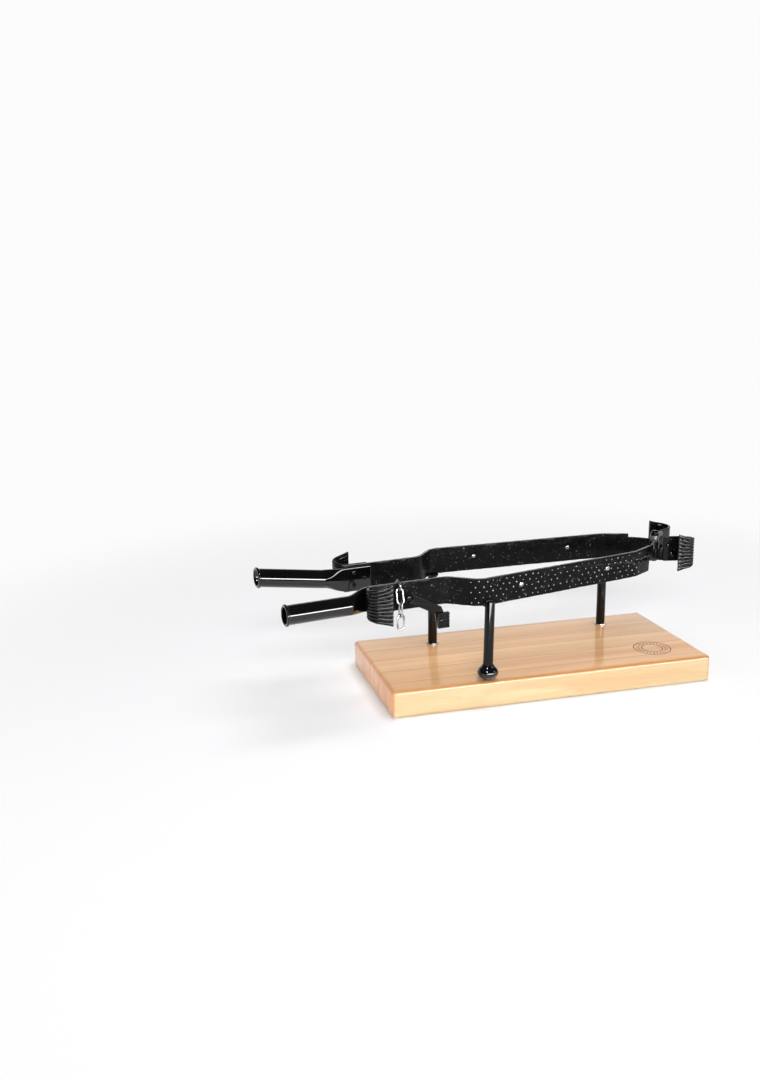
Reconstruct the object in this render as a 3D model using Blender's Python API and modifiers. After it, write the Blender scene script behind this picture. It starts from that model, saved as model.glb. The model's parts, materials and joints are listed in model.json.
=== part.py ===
"""Ham holder stand: a wooden board carries a pair of iron jaws, hinged like pliers on one
upright pin.  The rear jaw stands on two posts; the front jaw swings on the pin and slides its
ball foot over the board.

World frame: origin at the middle of the board's underside, +X towards the pin, +Y to the rear
jaw, +Z up.  The jaws are laid out in their own plan frame: u runs from the pin towards the
handles and v runs outwards, away from the jaws' centre line (front and rear mirror each other).
"""
import math

import bmesh
import bpy
from mathutils import Matrix, Vector

GAP = 0.0003                    # clearance between pieces that touch

# board
BOARD_LENGTH = 0.420
BOARD_WIDTH = 0.190
BOARD_THICKNESS = 0.034
BOARD_ROUND = 0.0045

# plan frame of the jaws
PIN_X = 0.195
PIN_Y = 0.033
JAW_HEADING = math.radians(188)     # direction of +u, from the pin towards the handles

# flat iron strip of the jaws
STRIP_HEIGHT = 0.034
STRIP_THICKNESS = 0.004
FRONT_LOW = 0.123               # lower edge of the front jaw
REAR_LOW = 0.129                # lower edge of the rear jaw and of both tails

# outline of a jaw in (u, v)
ARM_END = 0.436
ARM_OFFSET = 0.0385
SHOULDER_INNER = 0.334
SHOULDER_OUTER = 0.3033
SHOULDER_OFFSET = 0.0674
CHEEK_END = 0.060
CHEEK_OFFSET = 0.0403
NECK_END = 0.020
NECK_OFFSET = 0.021
KNUCKLE_JOIN = (0.0032, 0.0036)     # where the strip runs into the knuckle
SHOULDER_INNER_BEND = 0.020         # radii of the outline's bends
SHOULDER_OUTER_BEND = 0.022
CHEEK_BEND = 0.035
NECK_BEND = 0.006
FRONT_STEP = 0.029              # the front jaw's lower part ends here, square
FRONT_STEP_RISE = 0.013
REAR_STEP = 0.026               # the rear jaw's upper edge drops here
REAR_STEP_DROP = 0.005

# hinge pin and its knuckles
PIN_RADIUS = 0.003
KNUCKLE_RADIUS = 0.0062
KNUCKLE_SPLIT = 0.44            # rear knuckle's share of the strip's height
MID_WASHER = 0.001
PIN_HEAD_RADIUS = 0.0052
SWEEP_RADIUS = 0.0075           # room kept round one knuckle for the other half

# ribbed fishtail scrolls
SCROLL_THICKNESS = 0.003
SCROLL_FLARE = 0.017            # what the free end gains in height
FLARE_POWER = 2.2               # the flare comes late, towards the free end
ARM_SCROLL_START = 0.4043
ARM_SCROLL_BEND = 0.4285
ARM_SCROLL_RADIUS = 0.0135
ARM_SCROLL_TIP = 0.4170
TONGUE_END = -0.0225            # strip behind a tail scroll, past the pin
TONGUE_BEND = -0.0062
TAIL_START = -0.0065            # the tail's plate: a point of its middle line, and its slope
TAIL_OFFSET = 0.0112
TAIL_SLOPE = -0.405
TAIL_BEND = -0.0275             # end of the straight plate, before the curl
TAIL_BULGE = 0.011              # how far the curl swells past its bend
TAIL_LIP = 0.006                # how far its free end comes back in
TAIL_ROUNDS = (0.012, 0.010, 0.009)
FRONT_TAIL = (0.0, 0.025, 0.0178)       # reach, drop and tip of each curl
REAR_TAIL = (0.016, 0.024, 0.0185)

# handles
HANDLE_RADIUS = 0.0115
HANDLE_WALL = 0.0017
HANDLE_RIM_RADIUS = 0.013
HANDLE_PLATE_THICKNESS = 0.004
HANDLE_PLATE_HEIGHT = 0.029
HANDLE_PLATE_START = 0.4015
HANDLE_TUBE_START = 0.462
HANDLE_END = 0.541
HANDLE_SHIFT = 0.004            # the tube's axis, outside the arm's middle
HANDLE_DROP = 0.002
FRONT_GRIP = (0.005, 0.0005)    # how far a tube splays and rises by its end
REAR_GRIP = (0.0175, 0.007)

# posts, leg and their hardware
ROD_RADIUS = 0.006
STUD_RADIUS = 0.004
FOOT_WASHER_RADIUS = 0.0083
FOOT_WASHER = 0.0015
UNDER_WASHER_RADIUS = 0.009
UNDER_WASHER = 0.0016
NUT_FLATS = 0.013
NUT_HEIGHT = 0.0065
COUNTERBORE_RADIUS = 0.0115
COUNTERBORE_DEPTH = 0.013
LEFT_POST = (0.302, 0.064)      # (u, v) under the rear jaw
RIGHT_POST = (0.0567, 0.0365)
LEG_U = 0.2916                  # (u) under the front jaw's shoulder
LEG_LAP = 0.006                 # the leg's tongue up the strip's outer face
LEG_INSET = 0.0003              # how far the leg's side sinks behind the strip's middle
LEG_SPLAY = (0.0062, 0.0078)    # (u, v) from under the leg's top to its foot
FOOT_RADIUS = 0.0127
FOOT_HEIGHT = 0.018
FOOT_SOCKET = 0.006

# rivets
RIVET_RADIUS = 0.002
RIVET_HEAD_RADIUS = 0.0036
RIVET_HEAD = 0.0016
CHEEK_STUDS = (0.2442, 0.1091)  # (u) along a jaw's cheek
CHEEK_STUD_RISE = 0.019         # above the strip's lower edge
ARM_RIVETS = ((0.424, -0.008), (0.424, 0.008), (0.4098, 0.0))      # (u, above the middle)
TAIL_RIVETS = ((-0.0125, 0.0215), (-0.0175, 0.0095))                # (u, above the lower edge)

# chain
WIRE_RADIUS = 0.0012
RING_RADIUS = 0.0065            # to the wire's centre
RING_U = 0.3972
RING_SHIFT = 0.001              # ring centre outside the strip's middle
RING_HOLE_RADIUS = 0.0026
RING_BEARING = 0.96             # share of the ring's inner radius at which it rests on the strip
LINK_LENGTH = 0.021
LINK_WIDTH = 0.0105
LINK_CLEAR = 0.0007             # top link's wire off the strip's face

# latch lever on the front arm
LEVER_U = 0.385
LEVER_Z = 0.1375
LEVER_WIDTH = 0.011
LEVER_THICKNESS = 0.003
LEVER_BEND_U = 0.3450
LEVER_BEND_Z = 0.1165
LEVER_TIP_Z = 0.0965
PAD_WIDTH = 0.0145
PAD_HEIGHT = 0.019
PAD_THICKNESS = 0.0045
PAD_GROOVES = 4
PAD_GROOVE = (0.002, 0.0012)    # depth of the cutter and height of a groove
PAD_SHIFT = 0.004               # pad's middle past the lever's bend, towards the pin
PAD_DROP = 0.001                # pad's lower edge under the lever's tip

FRONT, REAR = 1, -1
ALONG = Vector((math.cos(JAW_HEADING), math.sin(JAW_HEADING), 0))
FRONT_OUT = Vector((-ALONG.y, ALONG.x, 0))
PIN = Vector((PIN_X, PIN_Y, 0))


def clear_scene():
    for thing in list(bpy.data.objects):
        bpy.data.objects.remove(thing, do_unlink=True)


def collection(name):
    made = bpy.data.collections.new(name)
    bpy.context.scene.collection.children.link(made)
    return made


def material(name, colour, roughness, metallic):
    made = bpy.data.materials.new(name)
    made.use_nodes = True
    shader = made.node_tree.nodes["Principled BSDF"]
    shader.inputs["Base Color"].default_value = (*colour, 1)
    shader.inputs["Roughness"].default_value = roughness
    shader.inputs["Metallic"].default_value = metallic
    return made


def plan(u, v, side, z=0.0):
    """World point for a place in a jaw's plan frame."""
    return PIN + ALONG * u + FRONT_OUT * (v * side) + Vector((0, 0, z))


def place_mesh(name, mesh, kind=None):
    """An object for a mesh: a part with its material, or a hidden cutter without one."""
    thing = bpy.data.objects.new(name, mesh)
    if kind is None:
        cutters.objects.link(thing)
        thing.hide_render = True
        thing.display_type = 'WIRE'
    else:
        parts.objects.link(thing)
        mesh.materials.append(kind)
    return thing


def mesh_from(name, points, faces):
    mesh = bpy.data.meshes.new(name)
    mesh.from_pydata([tuple(p) for p in points], [], faces)
    mesh.update()
    return mesh


def combine(thing, other, operation='DIFFERENCE'):
    step = thing.modifiers.new(other.name, 'BOOLEAN')
    step.operation = operation
    step.object = other


def turned(name, profile, kind=None, steps=20):
    """Solid of revolution round Z; profile is (radius, z) from the top down its outer side."""
    mesh = bpy.data.meshes.new(name)
    edges = [(i, i + 1) for i in range(len(profile) - 1)]
    mesh.from_pydata([(r, 0, z) for r, z in profile], edges, [])
    thing = place_mesh(name, mesh, kind)
    screw = thing.modifiers.new("turn", 'SCREW')
    screw.steps = screw.render_steps = steps
    screw.use_merge_vertices = True
    screw.merge_threshold = 0.00001
    screw.use_smooth_shade = True
    return thing


def ring_profile(inner, outer, low, high):
    return [(inner, high), (outer, high), (outer, low), (inner, low), (inner, high)]


def cylinder(name, radius, low, high, kind=None, steps=20):
    """Upright round bar between two heights, centred on its own Z axis."""
    shape = bmesh.new()
    lift = Matrix.Translation((0, 0, (low + high) / 2))
    bmesh.ops.create_cone(shape, cap_ends=True, segments=steps, radius1=radius, radius2=radius,
                          depth=high - low, matrix=lift)
    mesh = bpy.data.meshes.new(name)
    shape.to_mesh(mesh)
    shape.free()
    return place_mesh(name, mesh, kind)


def block(name, size, kind=None):
    """Box of a given size, centred on its own origin."""
    shape = bmesh.new()
    bmesh.ops.create_cube(shape, size=1.0, matrix=Matrix.Diagonal((*size, 1)))
    mesh = bpy.data.meshes.new(name)
    shape.to_mesh(mesh)
    shape.free()
    return place_mesh(name, mesh, kind)


def rounded(corners):
    """Plan path through (u, v, radius) corners; every corner with a radius becomes an arc."""
    path = [Vector(corners[0][:2])]
    for before, corner, after in zip(corners, corners[1:], corners[2:]):
        here = Vector(corner[:2])
        come = (Vector(before[:2]) - here).normalized()
        go = (Vector(after[:2]) - here).normalized()
        half = come.angle(go) / 2
        reach = corner[2] / math.tan(half)
        centre = here + (come + go).normalized() * (corner[2] / math.sin(half))
        start = here + come * reach - centre
        turn = math.pi - 2 * half
        if come.x * go.y - come.y * go.x > 0:
            turn = -turn
        count = max(2, math.ceil(abs(turn) / math.radians(14)))
        path += [centre + Matrix.Rotation(turn * i / count, 2) @ start for i in range(count + 1)]
    path.append(Vector(corners[-1][:2]))
    return path


def lengths(path):
    total, marks = 0.0, [0.0]
    for a, b in zip(path, path[1:]):
        total += (b - a).length
        marks.append(total)
    return marks


def strip(name, path, side, low, high, thickness, kind=None, flare=0.0, flare_from=0.0):
    """Upright strip that follows a plan path; its height may flare towards the path's end."""
    marks = lengths(path)
    points = []
    for place, mark in zip(path, marks):
        share = max(0.0, mark - flare_from) / (marks[-1] - flare_from)
        grow = flare / 2 * share ** FLARE_POWER
        points += [plan(place.x, place.y, side, low - grow), plan(place.x, place.y, side, high + grow)]
    faces = [(2 * i, 2 * i + 2, 2 * i + 3, 2 * i + 1) for i in range(len(path) - 1)]
    thing = place_mesh(name, mesh_from(name, points, faces), kind)
    wall = thing.modifiers.new("wall", 'SOLIDIFY')
    wall.thickness = thickness
    wall.offset = 0
    wall.use_even_offset = True
    return thing


def lay_out(thing, place, side, z, slope=0.0, lift=0.0):
    """Turn an upright piece so that its axis points out of a strip that runs at a plan slope."""
    normal = (FRONT_OUT * side - ALONG * slope).normalized()
    thing.rotation_mode = 'QUATERNION'
    thing.rotation_quaternion = normal.to_track_quat('Z', 'Y')
    thing.location = plan(*place, side, z) + normal * lift
    return thing


def rivet_profile(grip):
    head = [(0, RIVET_HEAD), (RIVET_HEAD_RADIUS * 0.55, RIVET_HEAD * 0.8), (RIVET_HEAD_RADIUS, 0)]
    tail = [(RIVET_RADIUS * 1.5, -grip), (RIVET_RADIUS * 1.2, -grip - 0.0008), (0, -grip - 0.001)]
    return head + [(RIVET_RADIUS, 0), (RIVET_RADIUS, -grip)] + tail


def rivet(name, place, side, z, grip, lift, pieces, slope=0.0):
    """Rivet through a stack of strips, with its clearance hole in each of them.

    place lies in the middle of the outermost strip, and lift takes the head to its outer face.
    """
    made = turned(name, rivet_profile(grip + 2 * GAP), paint, 12)
    lay_out(made, place, side, z, slope, lift + GAP)
    drill = cylinder(name + "_hole", RIVET_RADIUS + GAP, -grip - 0.002, 0.002, steps=12)
    lay_out(drill, place, side, z, slope, lift)
    for piece in pieces:
        combine(piece, drill)


def make_board():
    board = block("board", (BOARD_LENGTH, BOARD_WIDTH, BOARD_THICKNESS), wood)
    board.location = (0, 0, BOARD_THICKNESS / 2)
    edge = board.modifiers.new("rounded edges", 'BEVEL')
    edge.width = BOARD_ROUND
    edge.segments = 3
    return board


def make_post(name, place, board):
    """Rear post with its stud, washers and nut; the stud's bore and counterbore cut the board."""
    u, v = place
    top = REAR_LOW - GAP
    seat = BOARD_THICKNESS + 2 * GAP + FOOT_WASHER
    stud_end = COUNTERBORE_DEPTH - GAP - UNDER_WASHER - GAP - NUT_HEIGHT - 0.0015
    profile = [(0, top), (ROD_RADIUS, top), (ROD_RADIUS, seat), (STUD_RADIUS, seat),
               (STUD_RADIUS, stud_end + 0.001), (STUD_RADIUS - 0.001, stud_end), (0, stud_end)]
    post = turned(name + "_post", profile, paint)
    bore = STUD_RADIUS + GAP
    low = BOARD_THICKNESS + GAP
    washer = turned(name + "_foot_washer",
                    ring_profile(bore, FOOT_WASHER_RADIUS, low, low + FOOT_WASHER), zinc)
    high = COUNTERBORE_DEPTH - GAP
    under = turned(name + "_under_washer",
                   ring_profile(bore, UNDER_WASHER_RADIUS, high - UNDER_WASHER, high), zinc)
    nut_top = high - UNDER_WASHER - GAP
    nut = cylinder(name + "_nut", NUT_FLATS / math.sqrt(3), nut_top - NUT_HEIGHT, nut_top, zinc, 6)
    thread = cylinder(name + "_nut_bore", bore, 0, BOARD_THICKNESS)
    combine(nut, thread)
    hole = cylinder(name + "_board_bore", bore, -0.001, BOARD_THICKNESS + 0.001)
    recess = cylinder(name + "_counterbore", COUNTERBORE_RADIUS, -0.001, COUNTERBORE_DEPTH, steps=24)
    for thing in (post, washer, under, nut, thread, hole, recess):
        thing.location = plan(u, v, REAR)
    combine(board, recess)
    combine(board, hole)


def jaw_path():
    return rounded([(ARM_END, ARM_OFFSET),
                    (SHOULDER_INNER, ARM_OFFSET, SHOULDER_INNER_BEND),
                    (SHOULDER_OUTER, SHOULDER_OFFSET, SHOULDER_OUTER_BEND),
                    (CHEEK_END, CHEEK_OFFSET, CHEEK_BEND),
                    (NECK_END, NECK_OFFSET, NECK_BEND),
                    KNUCKLE_JOIN])


def tongue_path():
    """The strip past the pin, that a tail scroll is riveted to."""
    run = STRIP_THICKNESS / 2 + GAP + SCROLL_THICKNESS / 2
    inward = run * math.hypot(1, TAIL_SLOPE)
    join_u, join_v = KNUCKLE_JOIN
    return rounded([(-join_u, join_v),
                    (TONGUE_BEND, plate_offset(TONGUE_BEND) - inward, STRIP_THICKNESS / 2),
                    (TONGUE_END, plate_offset(TONGUE_END) - inward)])


def plate_offset(u):
    """v of a tail plate's middle line at a given u."""
    return TAIL_OFFSET + TAIL_SLOPE * (u - TAIL_START)


def tail_path(reach, drop, tip):
    """Plate of a tail scroll, then its open curl; reach, drop and tip set the curl's size."""
    bend = TAIL_BEND - reach
    at_bend = plate_offset(bend)
    first, second, third = TAIL_ROUNDS
    return rounded([(TAIL_START, TAIL_OFFSET),
                    (bend, at_bend, first),
                    (bend - TAIL_BULGE, at_bend + drop / 2, second),
                    (bend - GAP, at_bend + drop, third),
                    (bend + tip, at_bend + drop - TAIL_LIP)])


def make_jaw(name, side, low):
    """One jaw: strip, tongue past the pin and half of the knuckle, as one forging."""
    high = low + STRIP_HEIGHT
    split = REAR_LOW + STRIP_HEIGHT * KNUCKLE_SPLIT
    if side == FRONT:
        boss_low, boss_high = split + MID_WASHER / 2 + GAP, REAR_LOW + STRIP_HEIGHT
    else:
        boss_low, boss_high = REAR_LOW, split - MID_WASHER / 2 - GAP
    jaw = strip(name, jaw_path(), side, low, high, STRIP_THICKNESS, paint)

    def carve(label, size, u, v, z):
        cutter = block(name + label, size)
        cutter.rotation_euler.z = JAW_HEADING
        cutter.location = plan(u, v, side, z)
        combine(jaw, cutter)

    deep = 0.06
    if side == FRONT:
        rise = low + FRONT_STEP_RISE
        carve("_square_end", (deep, deep, deep), FRONT_STEP - deep / 2, deep / 2, rise - deep / 2)
        clear_low, clear_high = 0, boss_low
    else:
        drop = high - REAR_STEP_DROP
        carve("_top_step", (deep, deep, deep), REAR_STEP - deep / 2, deep / 2, drop + deep / 2)
        clear_low, clear_high = boss_high, 1
    sweep = cylinder(name + "_sweep", SWEEP_RADIUS, clear_low, clear_high, steps=32)
    sweep.location = PIN
    combine(jaw, sweep)

    tongue = strip(name + "_tongue", tongue_path(), -side, REAR_LOW, REAR_LOW + STRIP_HEIGHT,
                   STRIP_THICKNESS)
    notch = block(name + "_tongue_notch", (deep, deep, deep))
    notch.rotation_euler.z = JAW_HEADING
    if side == FRONT:
        notch_z = boss_low - deep / 2
    else:
        notch_z = boss_high + deep / 2
    notch.location = plan(TAIL_START + deep / 2, 0, side, notch_z)
    combine(tongue, notch)
    combine(jaw, tongue, 'UNION')
    knuckle = cylinder(name + "_knuckle", KNUCKLE_RADIUS, boss_low, boss_high)
    knuckle.location = PIN
    combine(jaw, knuckle, 'UNION')
    bore = cylinder(name + "_pin_bore", PIN_RADIUS + GAP, 0, 1)
    bore.location = PIN
    combine(jaw, bore)
    return jaw


def make_pin():
    split = REAR_LOW + STRIP_HEIGHT * KNUCKLE_SPLIT
    top = REAR_LOW + STRIP_HEIGHT + GAP
    low = REAR_LOW - GAP
    cap = top + MID_WASHER + GAP
    pin = turned("hinge_pin", [(0, cap + 0.0048), (PIN_HEAD_RADIUS * 0.6, cap + 0.0042),
                               (PIN_HEAD_RADIUS * 0.95, cap + 0.0022), (PIN_HEAD_RADIUS, cap),
                               (PIN_RADIUS, cap), (PIN_RADIUS, low), (PIN_RADIUS * 1.5, low),
                               (PIN_RADIUS * 1.3, low - 0.001), (0, low - 0.0012)], steel)
    wide = KNUCKLE_RADIUS
    middle = turned("hinge_middle_washer", ring_profile(PIN_RADIUS + GAP, wide, split - MID_WASHER / 2,
                                                        split + MID_WASHER / 2), steel)
    upper = turned("hinge_top_washer", ring_profile(PIN_RADIUS + GAP, wide, top, top + MID_WASHER),
                   steel)
    for thing in (pin, middle, upper):
        thing.location = PIN


def make_arm_scroll(name, side, low):
    """Fishtail scroll on the outer face of an arm's end."""
    v0 = ARM_OFFSET + (STRIP_THICKNESS + SCROLL_THICKNESS) / 2 + GAP
    radius = ARM_SCROLL_RADIUS
    swell = ARM_SCROLL_BEND + radius
    path = rounded([(ARM_SCROLL_START, v0),
                    (swell, v0, radius * 0.97),
                    (swell - radius / 10, v0 + radius * 1.85, radius * 0.9),
                    (ARM_SCROLL_TIP, v0 + radius * 2.05)])
    flat = ARM_SCROLL_BEND - ARM_SCROLL_START
    return strip(name, path, side, low, low + STRIP_HEIGHT, SCROLL_THICKNESS, paint,
                 flare=SCROLL_FLARE, flare_from=flat)


def make_tail(name, side, reach, drop, tip, jaw):
    """Tail scroll past the pin, riveted to the outer face of the opposite jaw's tongue."""
    path = tail_path(reach, drop, tip)
    low = REAR_LOW
    flat = TAIL_START - TAIL_BEND + reach
    tail = strip(name, path, side, low, low + STRIP_HEIGHT, SCROLL_THICKNESS, paint,
                 flare=SCROLL_FLARE, flare_from=flat)
    grip = STRIP_THICKNESS + SCROLL_THICKNESS + GAP
    for number, (u, rise) in enumerate(TAIL_RIVETS, 1):
        rivet("%s_rivet_%d" % (name, number), (u, plate_offset(u)), side, low + rise, grip,
              SCROLL_THICKNESS / 2, [tail, jaw], TAIL_SLOPE)


def ring_of(centre, half_thick, half_high, squash, count=24):
    """Closed section in the plane u = const: a circle that squash turns into a flat plate."""
    u, v, z = centre
    points = []
    for i in range(count):
        angle = 2 * math.pi * i / count
        c, s = math.cos(angle), math.sin(angle)
        flat_c = max(-1.0, min(1.0, 4 * c))
        flat_s = math.asin(s) / (math.pi / 2)
        across = half_thick * (c + (flat_c - c) * squash)
        upright = half_high * (s + (flat_s - s) * squash)
        points.append((u, v + across, z + upright))
    return points


def make_handle(name, side, low, splay, rise):
    """Tube handle, hammered flat at the arm's end, with a rolled rim round its open bore."""
    flat_v = ARM_OFFSET - STRIP_THICKNESS / 2 - GAP - HANDLE_PLATE_THICKNESS / 2
    mid = low + STRIP_HEIGHT / 2
    half, tall = HANDLE_PLATE_THICKNESS / 2, HANDLE_PLATE_HEIGHT / 2
    tube_v, tube_z = ARM_OFFSET + HANDLE_SHIFT, mid - HANDLE_DROP * side
    run = HANDLE_END - HANDLE_TUBE_START

    def axis(u):
        share = (u - HANDLE_TUBE_START) / run
        return u, tube_v + splay * share, tube_z + rise * share

    sections = [((HANDLE_PLATE_START, flat_v, mid), half, tall, 1.0),
                ((ARM_END, flat_v, mid), half, tall, 1.0)]
    taper = HANDLE_TUBE_START - ARM_END
    for share in (0.3, 0.55, 0.8):
        ease = share * share * (3 - 2 * share)
        centre = (ARM_END + taper * share, flat_v + (tube_v - flat_v) * ease,
                  mid + (tube_z - mid) * ease)
        sections.append((centre, half + (HANDLE_RADIUS - half) * ease,
                         tall + (HANDLE_RADIUS - tall) * ease, 1 - ease))
    for u, radius in ((HANDLE_TUBE_START, HANDLE_RADIUS), (HANDLE_END - 0.006, HANDLE_RADIUS),
                      (HANDLE_END - 0.0035, HANDLE_RIM_RADIUS), (HANDLE_END, HANDLE_RIM_RADIUS),
                      (HANDLE_END, HANDLE_RADIUS - HANDLE_WALL * 0.5),
                      (HANDLE_END - 0.004, HANDLE_RADIUS - HANDLE_WALL),
                      (HANDLE_TUBE_START + 0.008, HANDLE_RADIUS - HANDLE_WALL)):
        sections.append((axis(u), radius, radius, 0.0))
    rings = [ring_of(*section) for section in sections]
    count = len(rings[0])
    points = [plan(u, v, side, z) for ring in rings for u, v, z in ring]
    faces = [tuple(range(count)), tuple(range((len(rings) - 1) * count, len(rings) * count))]
    for r in range(len(rings) - 1):
        for i in range(count):
            j = (i + 1) % count
            faces.append((r * count + i, r * count + j, (r + 1) * count + j, (r + 1) * count + i))
    mesh = mesh_from(name, points, faces)
    shape = bmesh.new()
    shape.from_mesh(mesh)
    bmesh.ops.recalc_face_normals(shape, faces=shape.faces)
    shape.to_mesh(mesh)
    shape.free()
    return place_mesh(name, mesh, paint)


def make_leg(jaw_low):
    """Front leg, notched over the jaw's lower edge, and the ball foot it stands on."""
    share = (LEG_U - CHEEK_END) / (SHOULDER_OUTER - CHEEK_END)
    face = CHEEK_OFFSET + (SHOULDER_OFFSET - CHEEK_OFFSET) * share
    v = face + ROD_RADIUS - LEG_INSET
    floor = BOARD_THICKNESS + GAP
    bottom = floor + FOOT_HEIGHT - FOOT_SOCKET + GAP
    splay_u, splay_v = LEG_SPLAY
    head = plan(LEG_U, v, FRONT, jaw_low + LEG_LAP)
    heel = plan(LEG_U + splay_u, v + splay_v, FRONT, bottom)
    turn = (head - heel).to_track_quat('Z', 'Y')
    leg = cylinder("front_leg", ROD_RADIUS, 0, (head - heel).length, paint)
    socket = cylinder("front_foot_socket", ROD_RADIUS + GAP, -GAP, 2 * FOOT_HEIGHT)
    for rod in (leg, socket):
        rod.rotation_mode = 'QUATERNION'
        rod.rotation_quaternion = turn
        rod.location = heel
    deep = 0.03
    notch = block("front_leg_notch", (deep, deep, deep))
    lean = math.atan2(SHOULDER_OFFSET - CHEEK_OFFSET, SHOULDER_OUTER - CHEEK_END)
    notch.rotation_euler.z = JAW_HEADING + lean
    normal = (FRONT_OUT * math.cos(lean) - ALONG * math.sin(lean)).normalized()
    depth = STRIP_THICKNESS / 2 + GAP - deep / 2
    notch.location = plan(LEG_U, face, FRONT, jaw_low - GAP + deep / 2) + normal * depth
    combine(leg, notch)

    half = FOOT_HEIGHT / 2
    outline = [(0, floor + FOOT_HEIGHT)]
    for i in range(11):
        angle = math.radians(60 - 150 * i / 10)
        outline.append((FOOT_RADIUS * math.cos(angle), floor + half + half * math.sin(angle)))
    outline[-1] = (0, floor)
    foot = turned("front_foot", outline, paint)
    foot.location = (heel.x, heel.y, 0)
    combine(foot, socket)


def oval(name, kind, length, width):
    """Chain link in its own XZ plane: two straight sides and two round ends."""
    radius = width / 2 - WIRE_RADIUS
    straight = length / 2 - width / 2
    points = []
    for i in range(16):
        angle = 2 * math.pi * (i + 0.5) / 16
        lift = straight if math.sin(angle) > 0 else -straight
        points.append((radius * math.cos(angle), 0, radius * math.sin(angle) + lift))
    curve = bpy.data.curves.new(name, 'CURVE')
    curve.dimensions = '3D'
    curve.bevel_depth = WIRE_RADIUS
    curve.bevel_resolution = 1
    spline = curve.splines.new('POLY')
    spline.points.add(len(points) - 1)
    for knot, place in zip(spline.points, points):
        knot.co = (*place, 1)
    spline.use_cyclic_u = True
    curve.materials.append(kind)
    thing = bpy.data.objects.new(name, curve)
    parts.objects.link(thing)
    return thing


def make_chain(jaw_low, jaw):
    """Ring through a hole in the front arm and over its upper edge, and three hanging links."""
    face_v = ARM_OFFSET + STRIP_THICKNESS / 2
    centre_v = ARM_OFFSET + RING_SHIFT
    corner = STRIP_THICKNESS / 2 + RING_SHIFT       # the strip's inner corner, from the centre
    bearing = (RING_RADIUS - WIRE_RADIUS) * RING_BEARING
    centre_z = jaw_low + STRIP_HEIGHT + GAP - math.sqrt(bearing ** 2 - corner ** 2)
    ring = oval("chain_ring", zinc, 2 * (RING_RADIUS + WIRE_RADIUS), 2 * (RING_RADIUS + WIRE_RADIUS))
    ring.rotation_euler.z = JAW_HEADING + math.pi / 2
    ring.location = plan(RING_U, centre_v, FRONT, centre_z)
    hole = cylinder("chain_ring_hole", RING_HOLE_RADIUS, -0.01, 0.01, steps=16)
    lay_out(hole, (RING_U, ARM_OFFSET), FRONT, centre_z - RING_RADIUS * 0.97)
    combine(jaw, hole)
    hook_v = face_v + WIRE_RADIUS + LINK_CLEAR
    hang_v = face_v + LINK_WIDTH / 2 + 2 * GAP
    apart = 2 * WIRE_RADIUS + GAP
    drop = math.sqrt((RING_RADIUS - apart) ** 2 - (hook_v - centre_v) ** 2)
    top = centre_z - drop
    middle = LINK_LENGTH / 2 - WIRE_RADIUS
    pitch = 2 * middle - apart
    tilt = math.asin((hang_v - hook_v) / pitch)
    first = oval("chain_link_1", zinc, LINK_LENGTH, LINK_WIDTH)
    first.rotation_euler = (tilt, 0, JAW_HEADING)
    lean = math.sin(tilt) * middle
    first.location = plan(RING_U, hook_v + lean, FRONT, top - math.cos(tilt) * middle)
    top -= math.cos(tilt) * pitch
    for number, twist in ((2, math.pi / 2), (3, 0)):
        link = oval("chain_link_%d" % number, zinc, LINK_LENGTH, LINK_WIDTH)
        link.rotation_euler.z = JAW_HEADING + twist
        link.location = plan(RING_U, hang_v, FRONT, top - middle)
        top -= pitch


def make_lever(jaw):
    """Latch lever on the front arm: a flat bar, bent down at its end, with a ribbed pad."""
    v = ARM_OFFSET + STRIP_THICKNESS / 2 + GAP + LEVER_THICKNESS / 2
    half = LEVER_WIDTH / 2
    pivot, bend = Vector((LEVER_U, LEVER_Z)), Vector((LEVER_BEND_U, LEVER_BEND_Z))
    run = (bend - pivot).normalized()
    edge = Vector((-run.y, run.x)) * half       # towards the bar's lower edge
    outline = [pivot + Matrix.Rotation(math.radians(30 * i), 2) @ -edge for i in range(7)]
    tip = Vector((0, LEVER_TIP_Z - LEVER_BEND_Z))
    near, far = Vector((half * 0.55, 0)), Vector((-half * 0.95, 0))
    outline += [bend + near + edge * 0.75, bend + near + tip, bend + far + tip,
                bend + far - Vector((0, half * 0.2)), bend - edge]
    mesh = mesh_from("latch_lever", [plan(p.x, v, FRONT, p.y) for p in outline],
                     [tuple(range(len(outline)))])
    lever = place_mesh("latch_lever", mesh, paint)
    wall = lever.modifiers.new("wall", 'SOLIDIFY')
    wall.thickness = LEVER_THICKNESS
    wall.offset = 0
    grip = LEVER_THICKNESS + GAP + STRIP_THICKNESS
    rivet("latch_pin", (LEVER_U, v), FRONT, LEVER_Z, grip, LEVER_THICKNESS / 2, [lever, jaw])

    pad = block("latch_pad", (PAD_WIDTH, PAD_THICKNESS, PAD_HEIGHT), paint)
    pad_v = v + (LEVER_THICKNESS + PAD_THICKNESS) / 2 + GAP
    pad_u = LEVER_BEND_U - PAD_SHIFT
    pad_z = LEVER_TIP_Z + PAD_HEIGHT / 2 - PAD_DROP
    pad.rotation_euler.z = JAW_HEADING
    pad.location = plan(pad_u, pad_v, FRONT, pad_z)
    for i in range(PAD_GROOVES):
        groove = block("latch_pad_groove_%d" % (i + 1), (PAD_WIDTH * 2, *PAD_GROOVE))
        groove.rotation_euler.z = JAW_HEADING
        rise = PAD_HEIGHT * ((i + 1) / (PAD_GROOVES + 1) - 0.5)
        groove.location = plan(pad_u, pad_v + PAD_THICKNESS / 2, FRONT, pad_z + rise)
        combine(pad, groove)
    grip = PAD_THICKNESS + GAP + LEVER_THICKNESS
    rivet("latch_pad_rivet", (LEVER_BEND_U, pad_v), FRONT, pad_z, grip,
          PAD_THICKNESS / 2, [pad, lever])


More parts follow.
